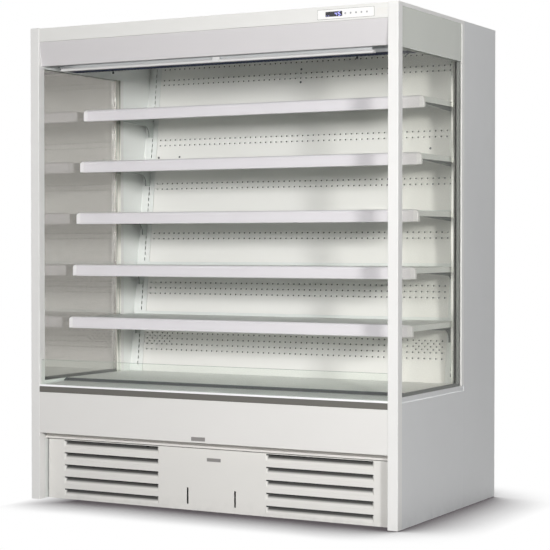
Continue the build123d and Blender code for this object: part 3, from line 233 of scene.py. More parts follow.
@dataclass(frozen=True)
class PowderCoat:
    """Baked polyester powder on sheet steel.

    To the eye it is satin, with an orange peel that softens the lamps' edges and faint cloudiness. The peel
    is really about 1 mm; it is drawn at 2.6 mm so that it shows. Sheets that reach the floor gather dust below
    the height dusty_below. The other options paint shade onto a part of the piece: painted shade on what lies
    behind the leaning wall's face, such as the insides of slots and holes, on what lies behind a depth, on the
    right-hand pieces, and on the edges that don't face sideways. The side that lines the inside has its own
    colour. All lengths are in mm.
    """

    name: str
    colour: str
    roughness: float = 0.42
    peel_mm: float = 2.6
    cloud_mm: float = 420
    cloud: float = 0.022
    handled_mm: float = 60
    speckle_mm: float = 38
    dusty_below: float = 0.0
    # The next options paint shade: behind the wall's face, beyond a depth, on right-hand pieces and on edges
    # that don't face sideways.
    painted_shade_behind: float | None = None
    painted_shade_across: tuple[float, float] = (0.0, 1000.0)
    painted_shade_beyond: float | None = None
    painted_shade_right: str | None = None
    painted_shade_edges: str | None = None
    liner: str | None = None
    liner_within: float = 832.0

    def material(self) -> bpy.types.Material:
        """Build the finish.

        Returns:
            The material.
        """
        recipe = Recipe(bpy.data.materials.new(self.name))
        base = linear(self.colour)
        cloud = recipe.add("TexNoise", {"Vector": recipe.place, "Scale": per_metre(self.cloud_mm), "Detail": 3})
        colour = recipe.add("MixRGB", [cloud, shaded(base, 1 - self.cloud), shaded(base, 1 + self.cloud)])
        for mask, shade in self.patches(recipe, base):
            colour = recipe.add("MixRGB", [mask, colour, shade])
        handled = recipe.add("TexNoise", {
            "Vector": recipe.place, "Scale": per_metre(self.handled_mm), "Detail": 4})
        roughness = recipe.add("MapRange", [handled, 0.3, 0.7, self.roughness - 0.04, self.roughness + 0.05])
        peel = recipe.add("TexNoise", {"Vector": recipe.place, "Scale": per_metre(self.peel_mm)})
        relief = recipe.add("Bump", {"Height": peel, "Distance": 0.03 * MM, "Strength": 0.35})
        return recipe.surface(recipe.add("BsdfPrincipled", {
            "Base Color": colour, "Roughness": roughness, "IOR": 1.5, "Normal": relief}))

    def patches(self, recipe: Recipe, base: Colour) -> Iterator[tuple[Socket, Colour]]:
        """Say where the coat has another colour: painted shade, or the liner's own colour.

        Args:
            recipe: the material.
            base: the coat's plain colour.

        Yields:
            A mask and the shade there; a later one covers an earlier one.
        """
        if self.dusty_below:
            near_floor = recipe.add("MapRange", [recipe.axes[2], 0.0, self.dusty_below * MM, 1.0, 0.0])
            speckle = recipe.add("TexNoise", {
                "Vector": recipe.place, "Scale": per_metre(self.speckle_mm), "Detail": 6})
            dust = recipe.add("MapRange", [speckle, 0.42, 0.72, 0.05, 0.42])
            yield recipe.add("Math", [near_floor, dust], operation="MULTIPLY"), shaded(base, 0.72)
        # Painted shade behind the leaning wall's face, inside slots and holes.
        if self.painted_shade_behind is not None:
            yield self.painted_shade_inside(recipe), shaded(base, 0.04)
        # Painted shade beyond a depth, in the louvre openings.
        if self.painted_shade_beyond is not None:
            start = (self.painted_shade_beyond - HALF_DEPTH) * MM
            yield recipe.add("MapRange", [recipe.axes[1], start, start + 5 * MM, 0, 1]), shaded(base, 0.08)
        # Painted shade on the right-hand pieces.
        if self.painted_shade_right:
            yield recipe.add("Math", [recipe.axes[0], 0.0], operation="GREATER_THAN"), linear(self.painted_shade_right)
        # Painted shade on the edges that don't face sideways, such as the brackets' undersides.
        if self.painted_shade_edges:
            sideways = recipe.add("Math", [recipe.facing[0]], operation="ABSOLUTE")
            yield recipe.add("Math", [sideways, 0.5], operation="LESS_THAN"), linear(self.painted_shade_edges)
        if self.liner:
            across = recipe.add("Math", [recipe.axes[0]], operation="ABSOLUTE")
            within = self.liner_within * MM
            yield recipe.add("Math", [across, within], operation="LESS_THAN"), linear(self.liner)

    def painted_shade_inside(self, recipe: Recipe) -> Socket:
        """Find what lies behind the leaning wall's face, in slots and holes, where the coat gets painted shade.

        The depth behind the face is the point's distance along the wall's inward normal, and only the strip
        between two distances from the middle of the cabinet counts.

        Args:
            recipe: the material.

        Returns:
            The mask.
        """
        inward = (0.0, math.cos(LEAN), -math.sin(LEAN))
        depth = recipe.add("VectorMath", [recipe.place, inward], out="Value", operation="DOT_PRODUCT")
        face = (WALL_FOOT_Y - HALF_DEPTH) * MM * math.cos(LEAN) - DECK_TOP * MM * math.sin(LEAN)
        hidden = recipe.add("Math", [depth, face + self.painted_shade_behind * MM], operation="GREATER_THAN")
        across = recipe.add("Math", [recipe.axes[0]], operation="ABSOLUTE")
        low, high = (edge * MM for edge in self.painted_shade_across)
        in_strip = recipe.add("Math", [across, (low + high) / 2, (high - low) / 2], operation="COMPARE")
        return recipe.add("Math", [hidden, in_strip], operation="MULTIPLY")


@dataclass(frozen=True)
class DrawnAluminium:
    """Anodised extruded aluminium.

    To the eye it is a soft metal whose highlights smear across fine die lines that run along the bar.
    """

    name: str
    colour: str
    roughness: float = 0.3
    grain: Grain = Grain.ACROSS
    line_mm: float = 1.4
    streak: float = 0.10

    def material(self) -> bpy.types.Material:
        """Build the finish.

        Returns:
            The material.
        """
        recipe = Recipe(bpy.data.materials.new(self.name))
        base = linear(self.colour)
        along = recipe.add("Mapping", {"Vector": recipe.place, "Scale": self.grain.value})
        lines = recipe.add("TexNoise", {"Vector": along, "Scale": per_metre(self.line_mm), "Detail": 3})
        broad = recipe.add("TexNoise", {"Vector": along, "Scale": per_metre(9 * self.line_mm)})
        streaks = recipe.add("Math", [lines, broad], operation="MULTIPLY")
        amount = recipe.add("MapRange", [streaks, 0.1, 0.45, 0, 1])
        colour = recipe.add("MixRGB", [amount, shaded(base, 1 - self.streak), shaded(base, 1 + self.streak)])
        roughness = recipe.add("MapRange", [lines, 0.3, 0.7, self.roughness * 0.8, self.roughness * 1.25])
        return recipe.surface(recipe.add("BsdfPrincipled", {
            "Base Color": colour, "Metallic": 1.0, "Roughness": roughness,
            "Normal": recipe.add("Bump", {"Height": lines, "Distance": 0.02 * MM, "Strength": 0.4})}))


@dataclass(frozen=True)
class GalvanisedSheet:
    """Hot-dip zinc on steel.

    To the eye it is a dull metal, patched with crystals that each catch the light a little differently. A sheet
    that shuts in the air space behind the back wall gets painted shade on its forward faces.
    """

    name: str
    colour: str = "#B4B8BB"
    spangle_mm: float = 13
    roughness: float = 0.48
    painted_shade_inside: bool = False

    def material(self) -> bpy.types.Material:
        """Build the finish.

        Returns:
            The material.
        """
        recipe = Recipe(bpy.data.materials.new(self.name))
        base = linear(self.colour)
        crystal = recipe.add("TexVoronoi", {"Vector": recipe.place, "Scale": per_metre(self.spangle_mm)},
                             out="Color")
        shade = recipe.add("SeparateColor", [crystal])
        colour = recipe.add("MixRGB", [shade, shaded(base, 0.8), shaded(base, 1.12)])
        # Painted shade on the faces that point forwards.
        if self.painted_shade_inside:
            forward = recipe.add("Math", [recipe.facing[1], -0.5], operation="LESS_THAN")
            colour = recipe.add("MixRGB", [forward, colour, shaded(base, 0.05)])
        return recipe.surface(recipe.add("BsdfPrincipled", {
            "Base Color": colour, "Metallic": 0.85,
            "Roughness": recipe.add("MapRange", [shade, 0, 1, self.roughness - 0.1, self.roughness + 0.12]),
            "Normal": recipe.add("Bump", {"Height": shade, "Distance": 0.05 * MM, "Strength": 0.2})}))


@dataclass(frozen=True)
class MouldedPlastic:
    """Injection-moulded or extruded ABS, PVC or nylon.

    To the eye it is one even colour under a soft sheen, with the fine grain of a spark-eroded mould.
    """

    name: str
    colour: str
    roughness: float = 0.4
    grain_mm: float = 1.1
    relief_mm: float = 0.02
    cloud_mm: float = 180
    coat: float = 0.0

    def material(self) -> bpy.types.Material:
        """Build the finish.

        Returns:
            The material.
        """
        recipe = Recipe(bpy.data.materials.new(self.name))
        base = linear(self.colour)
        cloud = recipe.add("TexNoise", {"Vector": recipe.place, "Scale": per_metre(self.cloud_mm), "Detail": 3})
        grain = recipe.add("TexNoise", {"Vector": recipe.place, "Scale": per_metre(self.grain_mm)})
        roughness = recipe.add("MapRange", [grain, 0.3, 0.7, self.roughness - 0.03, self.roughness + 0.04])
        return recipe.surface(recipe.add("BsdfPrincipled", {
            "Base Color": recipe.add("MixRGB", [cloud, shaded(base, 0.97), shaded(base, 1.03)]),
            "Roughness": roughness, "IOR": 1.49, "Coat Weight": self.coat, "Coat Roughness": 0.08,
            "Normal": recipe.add("Bump", {"Height": grain, "Distance": self.relief_mm * MM, "Strength": 0.4})}))


@dataclass(frozen=True)
class FloatGlass:
    """Clear or lightly tinted float glass.

    To the eye it is see-through, with a mirror image that grows at grazing angles (Schlick's rule: the mirror's
    share head-on, plus the glare's share of the fifth power of one less the cosine), green edges and faint wipe
    marks. A pane has four tinted skins in a sealed unit and two in a single sheet, so the tint is that of one
    skin. Enamel is fired on above the height print_foot, in mm, with a painted highlight line at its foot.
    """

    name: str
    tint: str
    edge: str = "#7C9285"
    print_foot: float = 0.0
    print_colour: str = "#CDD0C8"
    foot_highlight: str = "#E3E6E0"
    foot_highlight_mm: float = 2.5
    print_cloud_mm: float = 240
    smear: float = 0.012
    smear_mm: float = 160
    mirror: float = 0.04
    glare: float = 0.96

    def material(self) -> bpy.types.Material:
        """Build the finish.

        Returns:
            The material.
        """
        recipe = Recipe(bpy.data.materials.new(self.name))
        base = linear(self.tint)
        wiped = recipe.add("TexNoise", {"Vector": recipe.place, "Scale": per_metre(self.smear_mm), "Detail": 3})
        smeared = recipe.add("MixRGB", [wiped, shaded(base, 1 - self.smear), base])
        through = recipe.add("BsdfTransparent", [smeared])
        mirror = recipe.add("BsdfGlossy", {"Color": (1, 1, 1, 1), "Roughness": 0.015})
        facing = recipe.add("LayerWeight", {"Blend": 0.5}, out="Facing")
        fifth = recipe.add("Math", [facing, 5.0], operation="POWER")
        share = recipe.add("Math", [fifth, self.glare, self.mirror], operation="MULTIPLY_ADD")
        pane = recipe.add("MixShader", [share, through, mirror])
        on_edge = recipe.add("Math", [recipe.facing[2], 0.7], operation="GREATER_THAN")
        rim = recipe.add("BsdfPrincipled", {
            "Base Color": recipe.add("MixRGB", [wiped, shaded(linear(self.edge), 0.8), linear(self.edge)]),
            "Roughness": 0.25, "IOR": 1.5})
        pane = recipe.add("MixShader", [on_edge, pane, rim])
        if not self.print_foot:
            return recipe.surface(pane)
        # Painted highlight: a pale line along the enamel's foot.
        line_top = (self.print_foot + self.foot_highlight_mm) * MM
        band = linear(self.print_colour)
        cloud = recipe.add("TexNoise", {"Vector": recipe.place, "Scale": per_metre(self.print_cloud_mm)})
        over_line = recipe.add("Math", [recipe.axes[2], line_top], operation="GREATER_THAN")
        colour = recipe.add("MixRGB", [cloud, shaded(band, 0.97), shaded(band, 1.04)])
        colour = recipe.add("MixRGB", [over_line, linear(self.foot_highlight), colour])
        enamel = recipe.add("BsdfPrincipled", {"Base Color": colour, "Roughness": 0.16, "IOR": 1.5})
        above = recipe.add("Math", [recipe.axes[2], self.print_foot * MM], operation="GREATER_THAN")
        return recipe.surface(recipe.add("MixShader", [above, pane, enamel]))


@dataclass(frozen=True)
class EdgeSeal:
    """The glazed unit's edges: grey butyl spacer between the panes, bright-rolled aluminium inside them.

    To the eye the aluminium is a mirror drawn into upright light and dark streaks; the streaks are painted
    reflections in its colour.
    """

    name: str = "glazing_edge_butyl_spacer_bright_aluminium"
    metal: tuple[str, str] = ("#85877F", "#FAF9F4")
    spacer: tuple[str, str] = ("#6A6C6B", "#7D7F7D")
    bright_within: float = 831.2
    streak_mm: tuple[float, float] = (2.2, 11.0)
    dust_mm: float = 6

    def material(self) -> bpy.types.Material:
        """Build the finish, split at the inner pane's inner face, bright_within mm from the middle.

        Returns:
            The material.
        """
        recipe = Recipe(bpy.data.materials.new(self.name))
        across = recipe.add("Math", [recipe.axes[0]], operation="ABSOLUTE")
        inside = recipe.add("Math", [across, self.bright_within * MM], operation="LESS_THAN")
        upright = recipe.add("Mapping", {"Vector": recipe.place, "Scale": Grain.UPRIGHT.value})
        fine = recipe.add("TexNoise", {"Vector": upright, "Scale": per_metre(self.streak_mm[0])})
        wide = recipe.add("TexNoise", {"Vector": upright, "Scale": per_metre(self.streak_mm[1]), "Detail": 1})
        both = recipe.add("Math", [fine, wide], operation="ADD")
        streak = recipe.add("MapRange", [both, 0.8, 1.1, 0, 1])
        # Painted reflections: the streaks swing the metal's colour between dark and light.
        metal = recipe.add("BsdfPrincipled", {
            "Base Color": recipe.add("MixRGB", [streak, *map(linear, self.metal)]), "Metallic": 1.0,
            "Roughness": 0.2,
            "Normal": recipe.add("Bump", {"Height": wide, "Distance": 0.15 * MM, "Strength": 0.5})})
        dust = recipe.add("TexNoise", {"Vector": recipe.place, "Scale": per_metre(self.dust_mm)})
        spacer = recipe.add("BsdfPrincipled", {
            "Base Color": recipe.add("MixRGB", [dust, *map(linear, self.spacer)]), "Roughness": 0.6})
        return recipe.surface(recipe.add("MixShader", [inside, spacer, metal]))


@dataclass(frozen=True)
class FinnedCoil:
    """A stack of pressed aluminium fins.

    To the eye it is thin bright edges over dark gaps, painted into its colour as shade. The real pitch is about
    3 mm; it is drawn coarser.
    """

    name: str
    colour: str = "#B9BDBF"
    pitch_mm: float = 6

    def material(self) -> bpy.types.Material:
        """Build the finish.

        Returns:
            The material.
        """
        recipe = Recipe(bpy.data.materials.new(self.name))
        base = linear(self.colour)
        fins = recipe.add("TexWave", {"Vector": recipe.place, "Scale": wave_scale(self.pitch_mm)}, out="Fac",
                          bands_direction="X")
        # Painted shade in the gaps between the fins.
        return recipe.surface(recipe.add("BsdfPrincipled", {
            "Base Color": recipe.add("MixRGB", [fins, shaded(base, 0.28), base]),
            "Metallic": 0.9, "Roughness": 0.42,
            "Normal": recipe.add("Bump", {"Height": fins, "Distance": MM, "Strength": 0.8})}))


@dataclass(frozen=True)
class DrawnCopper:
    """Soft-drawn copper tube: to the eye a warm metal, with brown patches where it has tarnished."""

    name: str = "drawn_copper_tube"
    clean: str = "#C77B55"
    tarnished: str = "#8A4E36"
    patch_mm: float = 34

    def material(self) -> bpy.types.Material:
        """Build the finish.

        Returns:
            The material.
        """
        recipe = Recipe(bpy.data.materials.new(self.name))
        patches = recipe.add("TexNoise", {
            "Vector": recipe.place, "Scale": per_metre(self.patch_mm), "Detail": 5})
        tarnish = recipe.add("MapRange", [patches, 0.4, 0.65, 0, 1])
        return recipe.surface(recipe.add("BsdfPrincipled", {
            "Base Color": recipe.add("MixRGB", [tarnish, linear(self.clean), linear(self.tarnished)]),
            "Metallic": 1.0,
            "Roughness": recipe.add("MapRange", [tarnish, 0, 1, 0.24, 0.45])}))


@dataclass(frozen=True)
class WovenBlind:
    """Plain-woven coated polyester: to the eye a matt cloth of crossed threads, drawn at 1.6 mm to show."""

    name: str = "woven_blind_cloth"
    colour: str = "#C9CBCC"
    thread_mm: float = 1.6

    def material(self) -> bpy.types.Material:
        """Build the finish on the cloth's own map, which is in metres.

        Returns:
            The material.
        """
        recipe = Recipe(bpy.data.materials.new(self.name))
        base = linear(self.colour)
        lie = recipe.add("UVMap", uv_map="cloth")
        warp, weft = (recipe.add("TexWave", {"Vector": lie, "Scale": wave_scale(self.thread_mm)}, out="Fac",
                                 bands_direction=way) for way in ("X", "Y"))
        weave = recipe.add("Math", [warp, weft], operation="MULTIPLY")
        return recipe.surface(recipe.add("BsdfPrincipled", {
            "Base Color": recipe.add("MixRGB", [weave, shaded(base, 0.82), base]), "Roughness": 0.72,
            "Sheen Weight": 0.2,
            "Normal": recipe.add("Bump", {"Height": weave, "Distance": 0.2 * MM, "Strength": 0.6})}))


@dataclass(frozen=True)
class LitSegment:
    """A light-emitting display segment: to the eye a lilac glow, a little uneven, behind smoked plastic."""

    name: str = "display_segment_glow"
    colour: str = "#A9A8F5"
    strength: float = 1.1
    uneven_mm: float = 3

    def material(self) -> bpy.types.Material:
        """Build the finish.

        Returns:
            The material.
        """
        recipe = Recipe(bpy.data.materials.new(self.name))
        glow = linear(self.colour)
        uneven = recipe.add("TexNoise", {"Vector": recipe.place, "Scale": per_metre(self.uneven_mm)})
        spread = recipe.add("MixRGB", [uneven, shaded(glow, 0.85), glow])
        return recipe.surface(recipe.add("BsdfPrincipled", {
            "Base Color": spread, "Emission Color": spread, "Emission Strength": self.strength,
            "Roughness": 0.3}))


@dataclass(frozen=True)
class StudioFloor:
    """Matt white studio floor.

    To the camera and in reflections it is white, and goes dark only where the object closes in on it: the
    share of open sky within reach of each point sets the shade, between a darkest and a lightest share. At the
    sides, where lamps light the floor, the shade fades out between two places, in metres. Other light bounces
    off the floor as off grey paper.
    """

    name: str = "studio_floor"
    reach: float = 0.42
    open_sky: tuple[float, float] = (0.49, 0.93)
    left_fade: tuple[float, float] = (-0.86, -0.66)
    right_fade: tuple[float, float] = (0.87, 1.17)
    shade: str = "#5E595C"
    bounce: str = "#B9B9B8"
    grain_mm: float = 900

    def material(self) -> bpy.types.Material:
        """Build the finish.

        Returns:
            The material.
        """
        recipe = Recipe(bpy.data.materials.new(self.name))
        grain = recipe.add("TexNoise", {"Vector": recipe.place, "Scale": per_metre(self.grain_mm)})
        paper = recipe.add("BsdfDiffuse", [
            recipe.add("MixRGB", [grain, shaded(linear(self.bounce), 0.97), linear(self.bounce)])])
        open_share = recipe.add("AmbientOcclusion", {"Distance": self.reach}, out="AO", samples=24)
        light = recipe.add("MapRange", [open_share, *self.open_sky, 0, 1])
        for fade, ends in ((self.left_fade, (1, 0)), (self.right_fade, (0, 1))):
            lit = recipe.add("MapRange", [recipe.axes[0], *fade, *ends])
            light = recipe.add("Math", [light, lit], operation="MAXIMUM")
        seen = recipe.add("Emission", {
            "Color": recipe.add("MixRGB", [light, linear(self.shade), (1, 1, 1, 1)]), "Strength": 1.0})
        return recipe.surface(recipe.add("MixShader", [recipe.direct, paper, seen]))


@lru_cache(maxsize=None)
def made(finish: object) -> bpy.types.Material:
    """Build a finish's material once, however many pieces wear it."""
    return finish.material()


def dress(finish: object, *nodes: str) -> None:
    """Put a finish on CAD nodes.

    Args:
        finish: the finish.
        nodes: the nodes' names.
    """
    for name in nodes:
        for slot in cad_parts[name].material_slots:
            slot.material = made(finish)
        log.info("dressed %s in %s", name, finish.name)


def grid_faces(rows: int, columns: int, round_rows: bool = False, round_columns: bool = False) -> Array:
    """Four-sided faces over a grid of points, row by row.

    Args:
        rows: how many rows of points there are.
        columns: how many points a row has.
        round_rows: whether the last row joins the first.
        round_columns: whether each row closes on itself.

    Returns:
        The corner numbers of each face.
    """
    down, across = np.arange(rows - (not round_rows)), np.arange(columns - (not round_columns))
    i, j = (numbers.ravel() for numbers in np.meshgrid(down, across, indexing="ij"))
    k, m = (i + 1) % rows, (j + 1) % columns
    return np.stack([i * columns + j, k * columns + j, k * columns + m, i * columns + m], axis=1)


@dataclass
class Shell:
    """The points and faces of one piece while it is put together."""

    points: list[Array] = field(default_factory=list)
    faces: list[list[int]] = field(default_factory=list)
    count: int = 0

    def add(self, points: Array, faces: Array) -> None:
        """Add points and the faces between them.

        Args:
            points: an array of points in metres.
            faces: corner numbers, counted from this array's first point.
        """
        points = points.reshape(-1, 3)
        self.points.append(points)
        self.faces.extend((np.asarray(faces) + self.count).tolist())
        self.count += len(points)

    def surface(self, grid: Array, round_rows: bool = False, round_columns: bool = False) -> None:
        """Add a grid of points, rows by columns, as a surface."""
        self.add(grid, grid_faces(*grid.shape[:2], round_rows, round_columns))

    def prism(self, outline: Array, along: Point) -> None:
        """Carry a closed outline along a straight line and close both ends.

        Args:
            outline: the outline's points in metres.
            along: how far and which way it is carried, in metres.
        """
        count = len(outline)
        both = np.stack([outline, outline + np.array(along)])
        self.surface(both, round_columns=True)
        self.faces.append([*range(self.count - 2 * count, self.count - count)])
        self.faces.append([*range(self.count - count, self.count)])

    def turned(self, profile: Array, centre: Point, axis: Array, steps: int = 24) -> None:
        """Turn a profile about an axis.

        The point at radius r, height h and angle a is centre + h axis + r (cos a u + sin a v), where u and v
        are square to the axis and to each other.

        Args:
            profile: radii and heights in metres.
            centre: where height 0 is, in metres.
            axis: the axis's direction, of length 1.
            steps: how many steps make the round.
        """
        helper = np.array([1.0, 0, 0]) if abs(axis[0]) < 0.9 else np.array([0, 1.0, 0])
        u = np.cross(axis, helper)
        u /= np.linalg.norm(u)
        v = np.cross(axis, u)
        angle = np.arange(steps) * math.tau / steps
        ring = np.cos(angle)[:, None] * u + np.sin(angle)[:, None] * v
        grid = np.array(centre) + profile[:, 1, None, None] * axis + profile[:, 0, None, None] * ring
        self.surface(grid, round_columns=True)

    def piece(self, name: str, finish: object, slot: str, body: str, smooth: float = 30) -> bpy.types.Object:
        """Make the mesh and its object, merged and with its faces outwards.

        Args:
            name: the piece's name.
            finish: its finish.
            slot: the material slot's name; not used.
            body: the CAD body that it rides on.
            smooth: the angle in degrees below which an edge is shaded smooth.

        Returns:
            The object.
        """
        mesh = bpy.data.meshes.new(name)
        mesh.from_pydata(np.vstack(self.points).tolist(), [], self.faces)
        work = bmesh.new()
        work.from_mesh(mesh)
        bmesh.ops.remove_doubles(work, verts=work.verts, dist=2e-6)
        bmesh.ops.dissolve_degenerate(work, edges=work.edges, dist=1e-7)
        bmesh.ops.recalc_face_normals(work, faces=work.faces)
        work.to_mesh(mesh)
        work.free()
        mesh.shade_smooth()
        mesh.set_sharp_from_angle(angle=math.radians(smooth))
        mesh.materials.append(made(finish))
        made_piece = bpy.data.objects.new(name, mesh)
        bpy.context.scene.collection.objects.link(made_piece)
        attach(made_piece, body)
        log.info("built %s: %d faces on %s", name, len(mesh.polygons), body)
        return made_piece


def rounded_rectangle(width: float, height: float, radius: float, steps: int = 4) -> Array:
    """The outline of a rectangle with round corners.

    Each corner is a quarter circle: its points are the corner's centre plus the radius times (cos a, sin a).

    Args:
        width: in mm.
        height: in mm.
        radius: of the corners, in mm.
        steps: how many steps a corner takes.

    Returns:
        Points in the plane, in mm, anticlockwise.
    """
    angle = np.linspace(0, math.pi / 2, steps + 1)
    turns = np.concatenate([angle + k * math.pi / 2 for k in range(4)])
    signs = np.repeat([[1, 1], [-1, 1], [-1, -1], [1, -1]], steps + 1, axis=0)
    centres = signs * np.array([width / 2 - radius, height / 2 - radius])
    return centres + radius * np.stack([np.cos(turns), np.sin(turns)], axis=1)


def thicken(piece: bpy.types.Object, thickness_mm: float, offset: float = 0.0) -> None:
    """Give an open surface its sheet's thickness.

    Args:
        piece: the piece.
        thickness_mm: the sheet's thickness.
        offset: -1 behind the surface's normals, 0 about it, 1 in front.
    """
    wall = piece.modifiers.new("sheet", "SOLIDIFY")
    wall.thickness = thickness_mm * MM
    wall.offset = offset


def honeycomb(x_span: tuple[float, float], y_span: tuple[float, float], side: float,
              wall: float) -> list[Array]:
    """The lines of a honeycomb's glued ribbons, seen from above.

    Each ribbon is a trapezoid wave: a flat of one cell side, a slope of half a side across, a flat on the
    other side, and a slope back. Every other ribbon is turned over, so that the flats meet and hexagons
    open between them.

    Args:
        x_span: where the comb starts and ends across the cabinet, in mm.
        y_span: where it starts and ends front to back, in mm.
        side: a cell's side, in mm.
        wall: a ribbon's thickness, in mm.

    Returns:
        One array of (x, y) points for each ribbon, in mm.
    """
    reach = side * math.sqrt(3) / 4
    pitch = 2 * reach + wall
    periods = int((x_span[1] - x_span[0]) / (3 * side))
    ribbons = int((y_span[1] - y_span[0]) / pitch)
    start_x = (x_span[0] + x_span[1] - 3 * side * periods) / 2
    start_y = (y_span[0] + y_span[1] - pitch * (ribbons - 1)) / 2
    steps = np.array([0, 1, 1.5, 2.5]) * side
    x = (start_x + np.arange(periods)[:, None] * 3 * side + steps).ravel()
    wave = np.tile([reach, reach, -reach, -reach], periods)
    return [np.stack([x, start_y + k * pitch + (-1) ** k * wave], axis=1) for k in range(ribbons)]


@dataclass
class BackWall:
    """The leaning back: perforated air panels between the slotted uprights."""

    half_width: float = 749.7
    seams: tuple[float, ...] = (506, 767.25, 993.2, 1219.16, 1445.11, 1585, 1815, 1910)
    face: float = 1.0
    fold: float = 14.0
    sheet: float = 1.2
    gap: float = 0.35
    pitch: float = 26.6
    row_height: float = 12.0
    hole_radius: float = 3.3
    slot_strip: tuple[float, float] = (753.0, 797.0)
    rows: tuple[float, ...] = (
        606, 631, 656, 681, 861, 886, 911, 1112, 1137, 1341, 1366, 1543, 1568, 1826, 1848, 1898)
    short_rows: tuple[float, ...] = (643.5, 668.5)
    short_count: int = 5
    stud_radius: float = 5.2
    stud_height: float = 2.4
    studs: tuple[tuple[float, float], ...] = ((-12, 1808), (-12, 1866), (-622, 1488), (-735, 1487), (632, 1494))

    def up(self, height: float) -> float:
        """The length up the leaning wall at a height."""
        return (height - DECK_TOP) / math.cos(LEAN)

    def band(self, shell: Shell, low: float, high: float, x: Array) -> None:
        """Add a plain band of the panel's face between two heights, with points at each x."""
        shell.surface(leaning(x[None, :], np.array([low, high])[:, None], self.face))

    def fold_back(self, shell: Shell, edge: float, x: Array) -> None:
        """Add the strip that folds back from an edge."""
        shell.surface(leaning(x[None, :], edge, np.array([self.face, self.face + self.fold])[:, None]))

    def row(self, shell: Shell, middle: float, x: Array, holed: Array, shift: int) -> None:
        """Add one row of cells.

        A holed cell is a ring between the cell's edge, taken at its corners and middles, and an eight-sided
        hole at the same eight directions. A plain cell is four quarters about its middle.

        Args:
            shell: the panel.
            middle: the row's middle, up the wall, in mm.
            x: the panel's points across, half a pitch apart.
            holed: for each cell, whether it has a hole.
            shift: 0 for cells in line, 1 for cells half a pitch along.
        """
        centres = x[1 + shift:-1:2][:len(holed)]
        turn = np.array([[1, 0], [1, 1], [0, 1], [-1, 1], [-1, 0], [-1, -1], [0, -1], [1, -1]])
        rim = turn * np.array([self.pitch / 2, self.row_height / 2])
        angle = np.arange(8) * math.pi / 4
        hole = self.hole_radius * np.stack([np.cos(angle), np.sin(angle)], axis=1)
        here, there = np.arange(8), (np.arange(8) + 1) % 8
        ring = np.stack([here, there, there + 8, here + 8], axis=1)
        quarter = np.array([[7, 0, 8, 6], [0, 1, 2, 8], [8, 2, 3, 4], [6, 8, 4, 5]])
        for at_x, outline, faces in ((centres[holed], np.concatenate([rim, hole]), ring),
                                     (centres[~holed], np.concatenate([rim, [[0, 0]]]), quarter)):
            spots = outline + np.stack([at_x, np.full_like(at_x, middle)], axis=1)[:, None]
            steps = np.arange(len(at_x))[:, None, None] * len(outline)
            shell.add(leaning(spots[..., 0], spots[..., 1], self.face), (faces + steps).reshape(-1, 4))

    def panels(self) -> bpy.types.Object:
        """Fold and punch every panel.

        Returns:
            The panels as one piece.
        """
        cells = int(2 * self.half_width / self.pitch)
        reach = cells * self.pitch / 2
        inner = np.linspace(-reach, reach, 2 * cells + 1)
        x = np.concatenate([[-self.half_width], inner, [self.half_width]])
        shell = Shell()
        for low, high in zip(self.seams, self.seams[1:]):
            foot, top = self.up(low) + self.gap, self.up(high) - self.gap
            self.fold_back(shell, foot, x)
            inside = sorted([(h, 0) for h in self.rows if low < h < high]
                            + [(h, 1) for h in self.short_rows if low < h < high])
            for height, shift in inside:
                middle = self.up(height)
                self.band(shell, foot, middle - self.row_height / 2, x)
                holed = np.ones(cells - shift, bool)
                if shift:
                    holed[self.short_count:-self.short_count] = False
                self.row(shell, middle, inner, holed, shift)
                edges = np.array([middle - self.row_height / 2, middle, middle + self.row_height / 2])
                for side in Side:
                    border = side.value * np.array([reach - shift * self.pitch / 2, self.half_width])
                    shell.surface(leaning(border[None, :], edges[:, None], self.face))
                foot = middle + self.row_height / 2
            self.band(shell, foot, top, x)
            self.fold_back(shell, top, x)
        # Painted shade on the sheet behind the panels' face, so that the holes read dark.
        coat = PowderCoat("powder_coat_inner_white", "#F0EFEB", 0.5, painted_shade_behind=1.25)
        back = shell.piece("back_panels_punched", coat, "liner_paint", "cabinet")
        thicken(back, self.sheet)
        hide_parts("back_panels")
        return back

    def screws(self) -> None:
        """Set domed screw heads on the panels: a quarter-circle profile turned about the wall's normal."""
        angle = np.linspace(0, math.pi / 2, 5)
        profile = np.stack([self.stud_radius * np.sin(angle), self.stud_height * np.cos(angle)], axis=1) * MM
        profile = np.vstack([profile, [[0, 0]]])
        normal = np.array([0, -math.cos(LEAN), math.sin(LEAN)])
        shell = Shell()
        for x, height in self.studs:
            centre = leaning(np.array(x), np.array(self.up(height)), np.array(self.face - self.sheet / 2))
            shell.turned(profile, tuple(centre), normal, 12)
        steel = DrawnAluminium("turned_steel_screw", "#6E7072", 0.35)
        shell.piece("wall_screws", steel, "zinc_steel", "cabinet")

    def build(self) -> None:
        """Build the wall and dress what holds it."""
        self.panels()
        self.screws()
        # Painted shade inside the uprights' slots.
        dress(PowderCoat("powder_coat_upright_white", "#E9EBE8", 0.45, painted_shade_behind=0.3,
                         painted_shade_across=self.slot_strip), "uprights")


